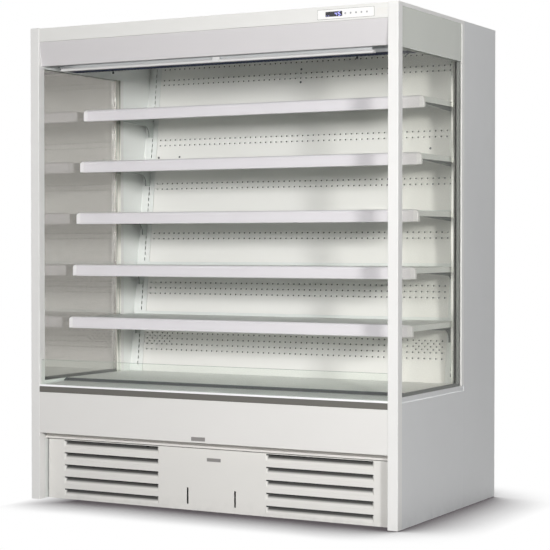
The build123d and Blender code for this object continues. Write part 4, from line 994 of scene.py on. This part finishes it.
@dataclass
class NightBlind:
    """The roller blind in the canopy: tube, wound cloth and pull bar."""

    axis_y: float = 84.0
    axis_z: float = 1890.0
    tube_radius: float = 22.0
    tube_half: float = 735.0
    spindle_radius: float = 5.0
    spindle_reach: float = 11.0
    cloth_half: float = 720.0
    cloth_y: float = 55.7
    cloth_foot: float = 1829.4
    stretch_from: float = 1861.0
    inner_radius: float = 22.6
    turns: int = 8
    thickness: float = 0.45

    def roller(self) -> None:
        """Turn the tube, its end plugs and its spindles about the roller's axis."""
        end = self.tube_half + self.spindle_reach
        half = np.array([
            (0, end), (self.spindle_radius - 0.6, end), (self.spindle_radius, end - 0.6),
            (self.spindle_radius, self.tube_half), (self.tube_radius - 5, self.tube_half),
            (self.tube_radius - 4, self.tube_half - 1.5), (self.tube_radius - 1, self.tube_half - 1.5),
            (self.tube_radius, self.tube_half - 2.5)])
        profile = np.vstack([half, (half * [1, -1])[::-1]]) * MM
        shell = Shell()
        shell.turned(profile, at(0, self.axis_y, self.axis_z), np.array([1.0, 0, 0]), 32)
        tube = shell.piece("blind_roller_tube", GalvanisedSheet("galvanised_roller_tube"), "silver_aluminium",
                           "blind_roller")
        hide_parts("blind_roller")

    def cloth(self) -> None:
        """Wind and hang the cloth.

        Its section is an Archimedean spiral, whose radius grows evenly with the angle, that leaves the coil
        straight down at the front; the section is carried across the cabinet.
        """
        outer = self.axis_y - self.cloth_y
        angle = np.linspace(math.pi - self.turns * math.tau, math.pi, self.turns * 36 + 1)
        radius = np.linspace(self.inner_radius, outer, len(angle))
        down = np.linspace(self.axis_z, self.cloth_foot, 49)[1:]
        y = np.concatenate([self.axis_y + radius * np.cos(angle), np.full(len(down), self.cloth_y)])
        z = np.concatenate([self.axis_z + radius * np.sin(angle), down])
        run = np.concatenate([[0], np.cumsum(np.hypot(np.diff(y), np.diff(z)))])
        x = np.linspace(-self.cloth_half, self.cloth_half, 17)
        shell = Shell()
        shell.surface(placed(x[None, :], y[:, None], z[:, None]))
        cloth = shell.piece("blind_cloth_wound", WovenBlind(), "blind_cloth", "cabinet")
        self.lay_out(cloth, y, z, run)
        thicken(cloth, self.thickness)
        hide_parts("blind_fabric")
        cloth.parent = None
        at(0, self.cloth_y, self.stretch_from)
        at(0, self.cloth_y, self.cloth_foot)
        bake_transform(cloth)

    def lay_out(self, cloth: bpy.types.Object, y: Array, z: Array, run: Array) -> None:
        """Map the cloth flat, in metres: across it, and along it by the length run so far.

        Args:
            cloth: the cloth.
            y: the section's places behind the front, in mm.
            z: the section's heights, in mm.
            run: the length along the section at each of its points, in mm.
        """
        mesh = cloth.data
        layer = mesh.uv_layers.new(name="cloth")
        points = np.empty(len(mesh.vertices) * 3, np.float32)
        mesh.vertices.foreach_get("co", points)
        points = points.reshape(-1, 3)
        section = np.stack([(y - HALF_DEPTH) * MM, z * MM], axis=1)
        nearest = np.argmin(((points[:, None, 1:] - section[None]) ** 2).sum(axis=2), axis=1)
        flat = np.stack([points[:, 0], run[nearest] * MM], axis=1)
        corners = np.empty(len(mesh.loops), np.int32)
        mesh.loops.foreach_get("vertex_index", corners)
        layer.data.foreach_set("uv", flat[corners].astype(np.float32).ravel())

    def build(self) -> None:
        """Build the blind and dress its bar and brackets."""
        self.roller()
        self.cloth()
        dress(PowderCoat("powder_coat_blind_bar", "#D9D8D7", 0.32), "blind_pull_bar")
        dress(GalvanisedSheet("galvanised_blind_bracket"), "blind_brackets")


@dataclass
class Canopy:
    """The fascia, its curved cover, the air duct, its outlet comb and the lamp."""

    comb_x: float = 817.5
    comb_y: tuple[float, float] = (170.0, 284.0)
    comb_z: tuple[float, float] = (1834.8, 1849.8)
    cell_side: float = 5.6
    cell_wall: float = 0.5
    hang_z: float = 1833.0
    knobs: tuple[tuple[float, float], ...] = ((-601, 249), (575, 223))
    knob_profile: tuple[tuple[float, float], ...] = (
        (0, 4), (3, 4), (3, 0), (2, -2), (2, -6), (4.2, -8), (5, -10.5), (4.2, -13), (2, -14.5), (0, -15))
    latch_span: tuple[float, float] = (780.0, 812.0)
    latch_y: float = 222.0
    latch_drop: float = 15.0
    latch_depth: float = 7.0
    latch_thickness: tuple[float, float] = (1.6, 2.4)
    nylon: MouldedPlastic = MouldedPlastic("moulded_black_nylon", "#25272C", 0.45)

    def outlet(self) -> None:
        """Build the flow straightener from ribbons carried up through its thickness."""
        shell = Shell()
        heights = np.array(self.comb_z)[:, None]
        for line in honeycomb((-self.comb_x, self.comb_x), self.comb_y, self.cell_side, self.cell_wall):
            shell.surface(placed(line[None, :, 0], line[None, :, 1], heights))
        navy = MouldedPlastic("moulded_navy_polypropylene", "#39415C", 0.45)
        comb = shell.piece("air_outlet_comb", navy, "navy_plastic", "cabinet", FLAT_SHADED)
        thicken(comb, self.cell_wall)
        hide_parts("air_outlet_honeycomb")

    def hang_knobs(self) -> None:
        """Turn small hanging knobs that hold the comb from below.

        Each is a neck that swells into a ball: radii along its height, turned about the upright axis.
        """
        shell = Shell()
        for x, y in self.knobs:
            shell.turned(np.array(self.knob_profile) * MM, at(x, y, self.hang_z), np.array([0, 0, 1.0]), 14)
        shell.piece("comb_knobs", self.nylon, "navy_plastic", "cabinet")

    def latch(self) -> None:
        """Build the comb's latch.

        Seen from ahead it is a strip that drops by one less the cosine of a quarter turn, and its thickness is
        a first number plus a second times the third power of the way along.
        """
        start, end = self.latch_span
        thin, growth = self.latch_thickness
        share = np.linspace(0, 1, 9)
        x = end - (end - start) * share
        top = self.hang_z - self.latch_drop * (1 - np.cos(share * math.pi / 2))
        thick = thin + growth * share ** 3
        outline = np.concatenate([np.stack([x, top], axis=1), np.stack([x, top - thick], axis=1)[::-1]])
        shell = Shell()
        shell.prism(placed(outline[:, 0], np.array(self.latch_y), outline[:, 1]), (0, self.latch_depth * MM, 0))
        shell.piece("comb_latch", self.nylon, "navy_plastic", "cabinet")

    def build(self) -> None:
        """Build the outlet and dress the canopy."""
        self.outlet()
        self.hang_knobs()
        self.latch()
        dress(PowderCoat("powder_coat_front_white", "#E6E5E2", 0.38), "canopy_fascia")
        dress(PowderCoat("powder_coat_cover_lilac_grey", "#D3D0D1", 0.34), "canopy_cover")
        dress(PowderCoat("powder_coat_duct_white", "#EEF0EE", 0.45), "ceiling_duct")
        dress(MouldedPlastic("opal_acrylic_diffuser", "#DADDE0", 0.3, coat=0.3), "canopy_lamp")


@dataclass
class Controller:
    """The electronic controller: display window, lit digits, button marks and a bare label film."""

    middle_z: float = 1967.5
    display_x: float = 583.0
    display_size: tuple[float, float] = (71.4, 19.4)
    window_y: tuple[float, float] = (1.15, 1.8)
    digit_height: float = 13.0
    digit_width: float = 8.0
    stroke: float = 2.2
    lean_share: float = 0.14
    digits: tuple[tuple[float, str], ...] = ((592.0, "FGBC"), (606.0, "AFGCD"))
    lamps: tuple[tuple[float, float], ...] = ((553, 1961.5), (562, 1961.5), (615.0, 1961.5))
    lamp_length: float = 3.0
    bar_gap: float = 0.5
    bar_rise: float = 0.08
    button_first: float = 632.0
    button_pitch: float = 22.8
    button_face: float = 0.2
    mark_radii: tuple[float, float] = (1.2, 2.6)
    mark_rise: float = 0.1
    fascia_face: float = 3.0
    # A grey rim round the housing that stands in for the shade round the bezel.
    shade_rim_width: float = 1.6
    shade_rim_rise: float = 0.7
    film_middle: tuple[float, float] = (785.0, 1966.0)
    film_size: tuple[float, float] = (42.0, 25.0)
    film_rise: float = 0.3

    def window(self) -> None:
        """Build the smoked window: a round-cornered outline carried through its thickness."""
        flat = rounded_rectangle(*self.display_size, 1.2)
        front, back = self.window_y
        outline = placed(self.display_x + flat[:, 0], np.array(back), self.middle_z + flat[:, 1])
        shell = Shell()
        shell.prism(outline, (0, (front - back) * MM, 0))
        smoked = MouldedPlastic("smoked_acrylic_window", "#23232C", 0.12, coat=0.6)
        shell.piece("display_window", smoked, "controller_plastic", "cabinet")

    def segment(self, shell: Shell, middle: tuple[float, float], length: float, upright: bool) -> None:
        """Add one lit bar: a flat hexagon, pointed at both ends, that leans right and stands out a little.

        Args:
            shell: the lit bars.
            middle: the bar's middle, as x and height in mm.
            length: its length in mm.
            upright: whether it stands.
        """
        half, thick = length / 2, self.stroke / 2
        flat = np.array([(half, 0), (half - thick, thick), (thick - half, thick),
                         (-half, 0), (thick - half, -thick), (half - thick, -thick)])
        if upright:
            flat = np.stack([-flat[:, 1], flat[:, 0]], axis=1)
        front = self.window_y[0]
        height = middle[1] + flat[:, 1]
        across = middle[0] + flat[:, 0] + self.lean_share * (height - self.middle_z)
        shell.prism(placed(across, np.array(front), height), (0, -self.bar_rise * MM, 0))

    def lit(self) -> None:
        """Build the digits from bars on a seven-segment pattern, and the small signal lamps."""
        rise, run = self.digit_height / 2, self.digit_width / 2
        bars = {"A": (0, rise, False), "G": (0, 0, False), "D": (0, -rise, False), "B": (run, rise / 2, True),
                "C": (run, -rise / 2, True), "F": (-run, rise / 2, True), "E": (-run, -rise / 2, True)}
        shell = Shell()
        for x, lit in self.digits:
            for letter in lit:
                dx, dz, upright = bars[letter]
                length = (rise if upright else 2 * run) - self.bar_gap
                self.segment(shell, (x + dx, self.middle_z + dz), length, upright)
        for x, z in self.lamps:
            self.segment(shell, (x, z), self.lamp_length, False)
        shell.piece("display_digits", LitSegment(), "controller_plastic", "cabinet")

    def marks(self) -> None:
        """Print a raised ring on each button: a flat band between two radii turned about the button's axis."""
        (inner, outer), rise = self.mark_radii, self.mark_rise
        ring = np.array([(inner, 0), (outer, 0), (outer, rise), (inner, rise), (inner, 0)]) * MM
        ink = MouldedPlastic("printed_grey_ink", "#5F5B66", 0.5)
        for number in range(5):
            shell = Shell()
            centre = at(self.button_first + number * self.button_pitch, self.button_face, self.middle_z)
            shell.turned(ring, centre, np.array([0, -1.0, 0]), 20)
            shell.piece(f"button_mark_{number + 1}", ink, "button_plastic", f"button_{number + 1}")

    def lay_shade_rim(self) -> None:
        """Lay a grey rim round the housing, a round-cornered outline carried forwards: a dark edge that stands
        in for the shade round the bezel.
        """
        low, high = (np.array(corner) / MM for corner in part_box("controller_bezel"))
        size, middle = high - low + 2 * self.shade_rim_width, (low + high) / 2
        flat = rounded_rectangle(size[0], size[2], 2)
        outline = placed(middle[0] + flat[:, 0], np.array(self.fascia_face), middle[2] + flat[:, 1])
        shell = Shell()
        shell.prism(outline, (0, -self.shade_rim_rise * MM, 0))
        shade_rim_finish = MouldedPlastic("grey_shade_rim", "#A3A19F", 0.5)
        shell.piece("controller_shade_rim", shade_rim_finish, "controller_plastic", "cabinet")

    def film(self) -> None:
        """Lay a bare film beside the controller: a round-cornered outline of hardly any thickness."""
        flat = rounded_rectangle(*self.film_size, 2) + self.film_middle
        shell = Shell()
        shell.prism(placed(flat[:, 0], np.array(self.fascia_face), flat[:, 1]), (0, -self.film_rise * MM, 0))
        clear = MouldedPlastic("clear_film_on_white", "#EDEBE7", 0.18, coat=0.5)
        shell.piece("blank_film", clear, "chassis_paint", "cabinet")

    def build(self) -> None:
        """Build the controller's fine parts and dress its housing and buttons."""
        self.window()
        self.lit()
        self.marks()
        self.film()
        self.lay_shade_rim()
        dress(MouldedPlastic("moulded_white_abs_bezel", "#F7F6F4", 0.3, coat=0.2), "controller_bezel")
        dress(MouldedPlastic("moulded_white_button", "#DEDEDD", 0.35), *(f"button_{n}" for n in range(1, 6)))


@dataclass
class Glazing:
    """The two glazed sides: frames, sealed units and their edges."""

    print_foot: float = 1832.0

    def build(self) -> None:
        """Dress the frames, panes and seals."""
        frame_coat = PowderCoat("powder_coat_post_white", "#E9E8E6", 0.36, dusty_below=50)
        dress(frame_coat, "left_side_frame", "right_side_frame")
        # Painted shade: the left pane's grey tint darkens the view through it, where the right pane is clear.
        dress(FloatGlass("side_glass_grey_painted_shade", "#E5E4E2", print_foot=self.print_foot,
                         mirror=0.12, glare=0.85), "left_side_glass")
        dress(FloatGlass("clear_side_glass", "#FEFEFD", print_foot=self.print_foot,
                         mirror=0.008, glare=0.15), "right_side_glass")
        dress(EdgeSeal(), "side_glass_seals")


@dataclass
class Body:
    """The insulated body: sides, back, roof, tub and chassis, with the screws that hold its sheets."""

    roof_top: float = 1998.0
    roof_rows: tuple[float, float] = (60.0, 985.0)
    vent_face: float = 981.5
    vent_rows: tuple[float, float] = (36.0, 250.0)
    vent_reach: float = 780.0
    screws_across: tuple[float, float, int] = (-800.0, 800.0, 9)
    head_radius: float = 5.5
    head_height: float = 1.5

    def screws(self) -> None:
        """Set screw heads round the roof and the vent sheet: a low dome turned about each head's axis."""
        angle = np.linspace(0, math.pi / 2, 4)
        dome = np.stack([self.head_radius * np.sin(angle), self.head_height * np.cos(angle)], axis=1)
        profile = np.vstack([dome, [[0, 0]]]) * MM
        shell = Shell()
        for x in np.linspace(*self.screws_across):
            for y in self.roof_rows:
                shell.turned(profile, at(x, y, self.roof_top), np.array([0, 0, 1.0]), 10)
            for z in self.vent_rows if abs(x) < self.vent_reach else ():
                shell.turned(profile, at(x, self.vent_face, z), np.array([0, 1.0, 0]), 10)
        zinc = DrawnAluminium("zinc_plated_screw", "#A7A9AB", 0.35)
        shell.piece("sheet_screws", zinc, "zinc_steel", "cabinet")

    def build(self) -> None:
        """Build the screws and dress the body."""
        self.screws()
        side = PowderCoat("powder_coat_side_grey", "#DBDCDD", 0.4, cloud=0.03, dusty_below=70,
                          liner="#F0F2EF")
        dress(side, "left_lower_panel", "right_lower_panel", "left_rear_panel", "right_rear_panel")
        # Painted shade on the back sheet's forward faces, seen through the panels' holes.
        dress(GalvanisedSheet("galvanised_back", painted_shade_inside=True), "rear_wall")
        dress(PowderCoat("powder_coat_roof", "#D6D7D6", 0.5), "roof_panel")
        dress(PowderCoat("powder_coat_tub", "#E3E0DC", 0.42), "base_tub")
        dress(PowderCoat("powder_coat_chassis", "#3A3B3C", 0.5, dusty_below=80), "base_frame")
        dress(GalvanisedSheet("zinc_plated_foot", spangle_mm=6), "levelling_feet")


@dataclass
class Shelving:
    """Shelves, hooked brackets and price rails."""

    rail_end: float = 815.0
    cap: float = 20.0
    cap_round: float = 17.0
    cap_stand: float = 0.5
    rail_rise: float = 6.0
    rail_height: float = 50.0
    rail_wall: float = 2.0
    rail_foot_round: float = 2.4
    rail_foot_bevel: float = 0.7
    rail_turn_up: float = 12.0
    rail_back: float = 14.0
    rail_on_tray: float = 24.0
    lip: float = 2.7
    channel: float = 0.6
    channel_foot: float = 8.0
    nose_handles: tuple[float, float, float] = (1.2, 1.5, 12.0)
    stations: tuple[float, float, float] = (0.0, 1.5, 6.0)
    first_cell: float = 60.0
    cap_small_round: float = 3.0

    def nose(self, tray: float) -> tuple[Array, Array]:
        """The rail's rounded top edge, as places behind its face and heights.

        It is a quadratic Bezier curve from the lip on the tray over the front corner to the face: each point is
        the mean of three handles weighed by (1-t) squared, 2t(1-t) and t squared.

        Args:
            tray: the height of the shelf's top, in mm.

        Returns:
            The curve's places and its heights, in mm.
        """
        top = tray + self.rail_rise
        share = np.linspace(0, 1, 9)
        weights = np.stack([(1 - share) ** 2, 2 * share * (1 - share), share ** 2])
        corner, over, down = self.nose_handles
        handles = np.array([(self.rail_back, tray + self.lip), (corner, top + over),
                            (self.channel / 2, top - down)])
        curve = (weights[:, :, None] * handles[:, None, :]).sum(axis=0)
        return curve[:, 0], curve[:, 1]

    def rail(self, number: int) -> None:
        """Build one price rail and its two end caps, in place of the plain ones.

        The rail is one bent wall: its section is carried along the shelf, with closer stations at its ends so
        that they shade crisply.

        Args:
            number: the shelf, counted from the top.
        """
        low, high = (np.array(corner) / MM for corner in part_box(f"ticket_rail_{number}"))
        face = low[1] + HALF_DEPTH
        foot = low[2]
        tray = foot + self.rail_height - self.rail_rise
        nose_y, nose_z = self.nose(tray)
        small, bevel = self.rail_foot_round, self.rail_foot_bevel
        back, slant = self.rail_back, self.channel / 2
        bend = [(0.0, foot + small), (bevel, foot + bevel), (small, foot), (back, foot)]
        front = [(slant, nose_z[-1] - 1), (slant + self.channel, nose_z[-1] - 1 - slant),
                 (self.channel, foot + self.channel_foot + slant), (0.0, foot + self.channel_foot),
                 *bend, (back, foot + self.rail_turn_up)]
        front_y, front_z = np.array(front).T
        y = face + np.concatenate([[self.rail_on_tray], nose_y, front_y]) + self.rail_wall / 2
        z = np.concatenate([[nose_z[0]], nose_z, front_z]) - self.rail_wall / 4
        reach = self.rail_end - self.cap
        ends = reach - np.array(self.stations)
        x = np.concatenate([-ends, np.linspace(-1, 1, 9) * (reach - self.first_cell), ends[::-1]])
        shell = Shell()
        shell.surface(placed(x[None, :], y[:, None], z[:, None]))
        plastic = MouldedPlastic("extruded_pvc_price_rail", "#E4E1E4", 0.34, coat=0.12)
        rail = shell.piece(f"price_rail_{number}", plastic, "rail_plastic", f"shelf_{number}", 40)
        thicken(rail, self.rail_wall)
        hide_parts(f"ticket_rail_{number}")
        bend_y, bend_z = np.array(bend).T
        self.caps(number, face, np.concatenate([nose_y, bend_y]), np.concatenate([nose_z, bend_z]))

    def caps(self, number: int, face: float, outline_y: Array, outline_z: Array) -> None:
        """Build the two caps of a rail from its closed outline.

        Seen from ahead a cap ends in a quarter circle: its top falls as the root of the radius squared less the
        square of the way into the corner. Its front and foot turn in by the same rule on a small radius.

        Args:
            number: the shelf.
            face: how far the rail's face is behind the front, in mm.
            outline_y: the outline's places behind the face.
            outline_z: its heights.
        """
        radius, small = self.cap_round, self.cap_small_round
        round_x = self.rail_end - radius * (1 - np.sin(np.linspace(0, math.pi / 2, 10)))
        x = np.concatenate([[self.rail_end - self.cap], round_x])
        into = np.clip(x - (self.rail_end - radius), 0, radius)
        into_small = np.clip(x - (self.rail_end - small), 0, small)
        top, foot = outline_z.max(), outline_z.min()
        ceiling = top - radius + np.sqrt(radius ** 2 - into ** 2)
        inset = small - np.sqrt(small ** 2 - into_small ** 2)
        z = np.clip(outline_z[None, :], foot + inset[:, None], ceiling[:, None])
        y = np.maximum(outline_y[None, :] - self.cap_stand, inset[:, None] - self.cap_stand)
        shell = Shell()
        for side in Side:
            grid = placed(side.value * x[:, None], face + y, z)
            shell.surface(grid, round_columns=True)
            rows, count = grid.shape[:2]
            shell.faces.append([*range(shell.count - rows * count, shell.count - (rows - 1) * count)])
            shell.faces.append([*range(shell.count - count, shell.count)])
        cap = MouldedPlastic("moulded_white_rail_cap", "#EDEBEC", 0.3, coat=0.2)
        shell.piece(f"price_rail_caps_{number}", cap, "rail_plastic", f"shelf_{number}", 40)

    def build(self) -> None:
        """Build the price rails and dress the shelves."""
        # Painted shade on the brackets' edges that don't face sideways and on the right-hand brackets.
        dress(PowderCoat("powder_coat_bracket", "#CBD0CD", 0.42, painted_shade_edges="#2A2E2D",
                         painted_shade_right="#8A8F8C"), "shelf_brackets")
        for number in range(1, 6):
            dress(PowderCoat("powder_coat_shelf", "#E2E5E2", 0.4), f"shelf_{number}")
            self.rail(number)


@dataclass
class Front:
    """Everything below the opening: deck, return comb, sill, riser, bumper, panel and plinth."""

    comb_x: float = 810.0
    comb_y: tuple[float, float] = (173.5, 190.2)
    comb_low: float = 496.0
    comb_high: float = 507.0
    foot: float = 482.2
    sheet: float = 1.2
    frame_stands: float = 1.0
    cell_side: float = 5.0
    cell_wall: float = 0.5
    cell_depth: float = 9.0
    cell_margin: float = 2.0
    front_plate: tuple[float, float] = (-25.5, 302.0)
    front_plate_size: tuple[float, float] = (65.0, 16.0)
    front_face: float = 0.5
    plinth_plate: tuple[float, float] = (12.5, 213.0)
    plinth_plate_size: tuple[float, float] = (65.0, 14.0)
    plinth_face: float = 60.0
    plate_edge: float = 2.0
    plate_rises: tuple[float, float] = (0.25, 0.15)

    def return_comb(self) -> None:
        """Build the return air comb: two edge strips, end strips and slanting ribbons between them.

        The comb is a flat honeycomb sheared in height: z rises evenly from its front to its back edge.
        """
        front, rear = self.comb_y
        shell = Shell()
        slope = (self.comb_high - self.comb_low) / (rear - front)
        low, high = self.comb_low + self.frame_stands, self.comb_high + self.frame_stands
        for y, top in ((front, low), (rear - self.sheet, high)):
            outline = placed(np.array(-self.comb_x), np.array([y, y + self.sheet, y + self.sheet, y]),
                             np.array([self.foot, self.foot, top, top]))
            shell.prism(outline, (2 * self.comb_x * MM, 0, 0))
        for x in (-self.comb_x, self.comb_x - self.sheet):
            outline = placed(np.array(x), np.array([front, rear, rear, front]),
                             np.array([self.foot, self.foot, high, low]))
            shell.prism(outline, (self.sheet * MM, 0, 0))
        grey = MouldedPlastic("moulded_dark_grey_abs", "#45484A", 0.4)
        edges = shell.piece("return_comb_frame", grey, "grille_dark", "return_grille")
        comb = Shell()
        inside = (front + self.sheet, rear - self.sheet)
        reach = self.comb_x - self.cell_margin
        for line in honeycomb((-reach, reach), inside, self.cell_side, self.cell_wall):
            top = self.comb_low + slope * (line[:, 1] - front)
            comb.surface(placed(line[None, :, 0], line[None, :, 1], np.stack([top - self.cell_depth, top])))
        black = MouldedPlastic("moulded_black_comb", "#2B2D2F", 0.4)
        cells = comb.piece("return_comb_cells", black, "grille_dark", "return_grille", FLAT_SHADED)
        thicken(cells, self.cell_wall)
        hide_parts("return_grille")

    def plate(self, name: str, middle: tuple[float, float], size: tuple[float, float], face: float,
              body: str) -> None:
        """Fix a bare rating plate: a round-cornered outline with a smaller one raised on it.

        Args:
            name: the piece's name.
            middle: the plate's middle, as x and height in mm.
            size: its width and height in mm.
            face: how far behind the front the face that it lies on is, in mm.
            body: the CAD body that it rides on.
        """
        width, height = size
        lip, raised = self.plate_rises
        outer = rounded_rectangle(width, height, 1.2)
        inner = rounded_rectangle(width - 2 * self.plate_edge, height - 2 * self.plate_edge, 0.8)
        shell = Shell()
        for outline, back, rise in ((outer, face, lip), (inner, face - lip, raised)):
            flat = outline + middle
            shell.prism(placed(flat[:, 0], np.array(back), flat[:, 1]), (0, -rise * MM, 0))
        shell.piece(name, DrawnAluminium("anodised_plate", "#8D8A88", 0.4), "silver_aluminium", body)

    def build(self) -> None:
        """Build the return comb and the plates, and dress the front."""
        self.return_comb()
        self.plate("front_plate", self.front_plate, self.front_plate_size, self.front_face, "cabinet")
        self.plate("plinth_plate", self.plinth_plate, self.plinth_plate_size, self.plinth_face, "plinth")
        dress(PowderCoat("powder_coat_deck", "#F7F7F4", 0.36), "deck_pan_left", "deck_pan_right")
        dress(DrawnAluminium("anodised_sill", "#F2F2F3", 0.38), "riser_profile")
        dress(FloatGlass("clear_riser_glass", "#FBFDFB", mirror=0.03, glare=0.7), "riser_glass")
        dress(MouldedPlastic("extruded_grey_bumper", "#66645F", 0.45), "bumper")
        dress(PowderCoat("powder_coat_front_panel", "#E6E4E1", 0.4), "front_panel")
        # Painted shade behind the louvre openings.
        dress(PowderCoat("powder_coat_plinth", "#E2E0DC", 0.42, dusty_below=60, painted_shade_beyond=64),
              "plinth_panel")


@dataclass
class CoolingPlant:
    """The evaporator with its fans, and the condensing unit in the machine bay."""

    def build(self) -> None:
        """Dress the plant."""
        dress(FinnedCoil("pressed_fins_evaporator"), "evaporator")
        dress(FinnedCoil("pressed_fins_condenser", "#A4A7A8"), "condenser")
        dress(GalvanisedSheet("galvanised_fan_plate"), "evaporator_fan_plate")
        dress(MouldedPlastic("moulded_fan_blade", "#3C3F42", 0.4), "evaporator_fan_left",
              "evaporator_fan_right", "condenser_fan")
        dress(PowderCoat("gloss_black_compressor", "#202122", 0.28, cloud=0.05), "compressor")
        dress(MouldedPlastic("moulded_drip_tray", "#4A4D50", 0.45), "drip_tray")
        dress(DrawnCopper(), "refrigerant_pipes")
        dress(MouldedPlastic("moulded_wiring_box", "#C9C9C6", 0.45), "electrical_box")


@dataclass
class Lamp:
    """A softbox of the studio, all sizes in metres."""

    name: str
    place: Point
    target: Point
    size: tuple[float, float]
    power: float

    def build(self) -> None:
        """Hang the softbox and aim it."""
        light = bpy.data.lights.new(self.name, "AREA")
        light.shape = "RECTANGLE"
        light.size, light.size_y = self.size
        light.energy = self.power
        holder = bpy.data.objects.new(self.name, light)
        holder.location = self.place
        aim = Vector(self.target) - Vector(self.place)
        holder.rotation_euler = aim.to_track_quat("-Z", "Y").to_euler()
        holder.visible_camera = False
        bpy.context.scene.collection.objects.link(holder)


@dataclass
class Studio:
    """The floor, the lamps, the pale surroundings and the camera."""

    lamps: tuple[Lamp, ...] = (
        Lamp("key_softbox", (4.7, -4.6, 1.9), (0.0, 0.0, 1.0), (0.6, 0.6), 163),
        Lamp("front_softbox", (1.9, -7.0, 2.1), (0.0, 0.0, 1.0), (2.4, 1.2), 250),
        Lamp("top_softbox", (-1.0, 1.6, 5.2), (0.3, -0.4, 0.0), (2.4, 2.4), 60),
        Lamp("rear_softbox", (0.3, 6.5, 3.0), (0.0, 0.5, 1.0), (1.8, 1.8), 150),
        Lamp("left_softbox", (-5.6, -1.2, 1.8), (0.0, 0.0, 1.0), (1.8, 1.8), 22),
    )
    sky: float = 0.09
    floor_size: float = 30.0
    floor_points: int = 9
    camera_place: Point = (3.44447, -6.22530, 1.08680)
    camera_turn: Point = (88.935, 0.0, 28.58)
    lens: float = 109.03
    sensor: float = 36.0

    def surroundings(self) -> None:
        """Light evenly from all round, and show white to the camera and in reflections."""
        world = bpy.data.worlds.new("studio")
        bpy.context.scene.world = world
        recipe = Recipe(world)
        strength = recipe.add("MapRange", [recipe.direct, 0.0, 1.0, self.sky, 1.0])
        recipe.surface(recipe.add("Background", {"Color": (1, 1, 1, 1), "Strength": strength}))

    def floor(self) -> None:
        """Lay the floor: a flat grid of points about the cabinet."""
        count = self.floor_points
        reach = np.linspace(-self.floor_size / 2, self.floor_size / 2, count)
        grid = np.stack(np.broadcast_arrays(reach[None, :], reach[:, None], 0.0), axis=-1)
        mesh = bpy.data.meshes.new("studio_floor")
        mesh.from_pydata(grid.reshape(-1, 3).tolist(), [], grid_faces(count, count)[:, ::-1].tolist())
        mesh.materials.append(made(StudioFloor()))
        floor = bpy.data.objects.new("studio_floor", mesh)
        bpy.context.scene.collection.objects.link(floor)

    def camera(self) -> None:
        """Set the camera at the photograph's viewing angle."""
        eye = bpy.data.cameras.new("camera")
        eye.lens = self.lens
        eye.sensor_width = self.sensor
        holder = bpy.data.objects.new("camera", eye)
        holder.location = self.camera_place
        holder.rotation_euler = [math.radians(turn) for turn in self.camera_turn]
        bpy.context.scene.collection.objects.link(holder)
        bpy.context.scene.camera = holder

    def build(self) -> None:
        """Set up the studio."""
        self.camera()
        self.surroundings()
        self.floor()
        for lamp in self.lamps:
            lamp.build()
        bpy.context.scene.view_settings.view_transform = "Standard"


def main() -> None:
    """Build the sub-assemblies in order."""
    logging.basicConfig(level=logging.INFO, format="%(name)s %(message)s")
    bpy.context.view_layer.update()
    for part in (Studio(), Body(), Glazing(), BackWall(), Canopy(), Controller(), NightBlind(), Shelving(),
                 Front(), CoolingPlant()):
        log.info("building %s", type(part).__name__)
        part.build()


if __name__ == "__main__":
    main()
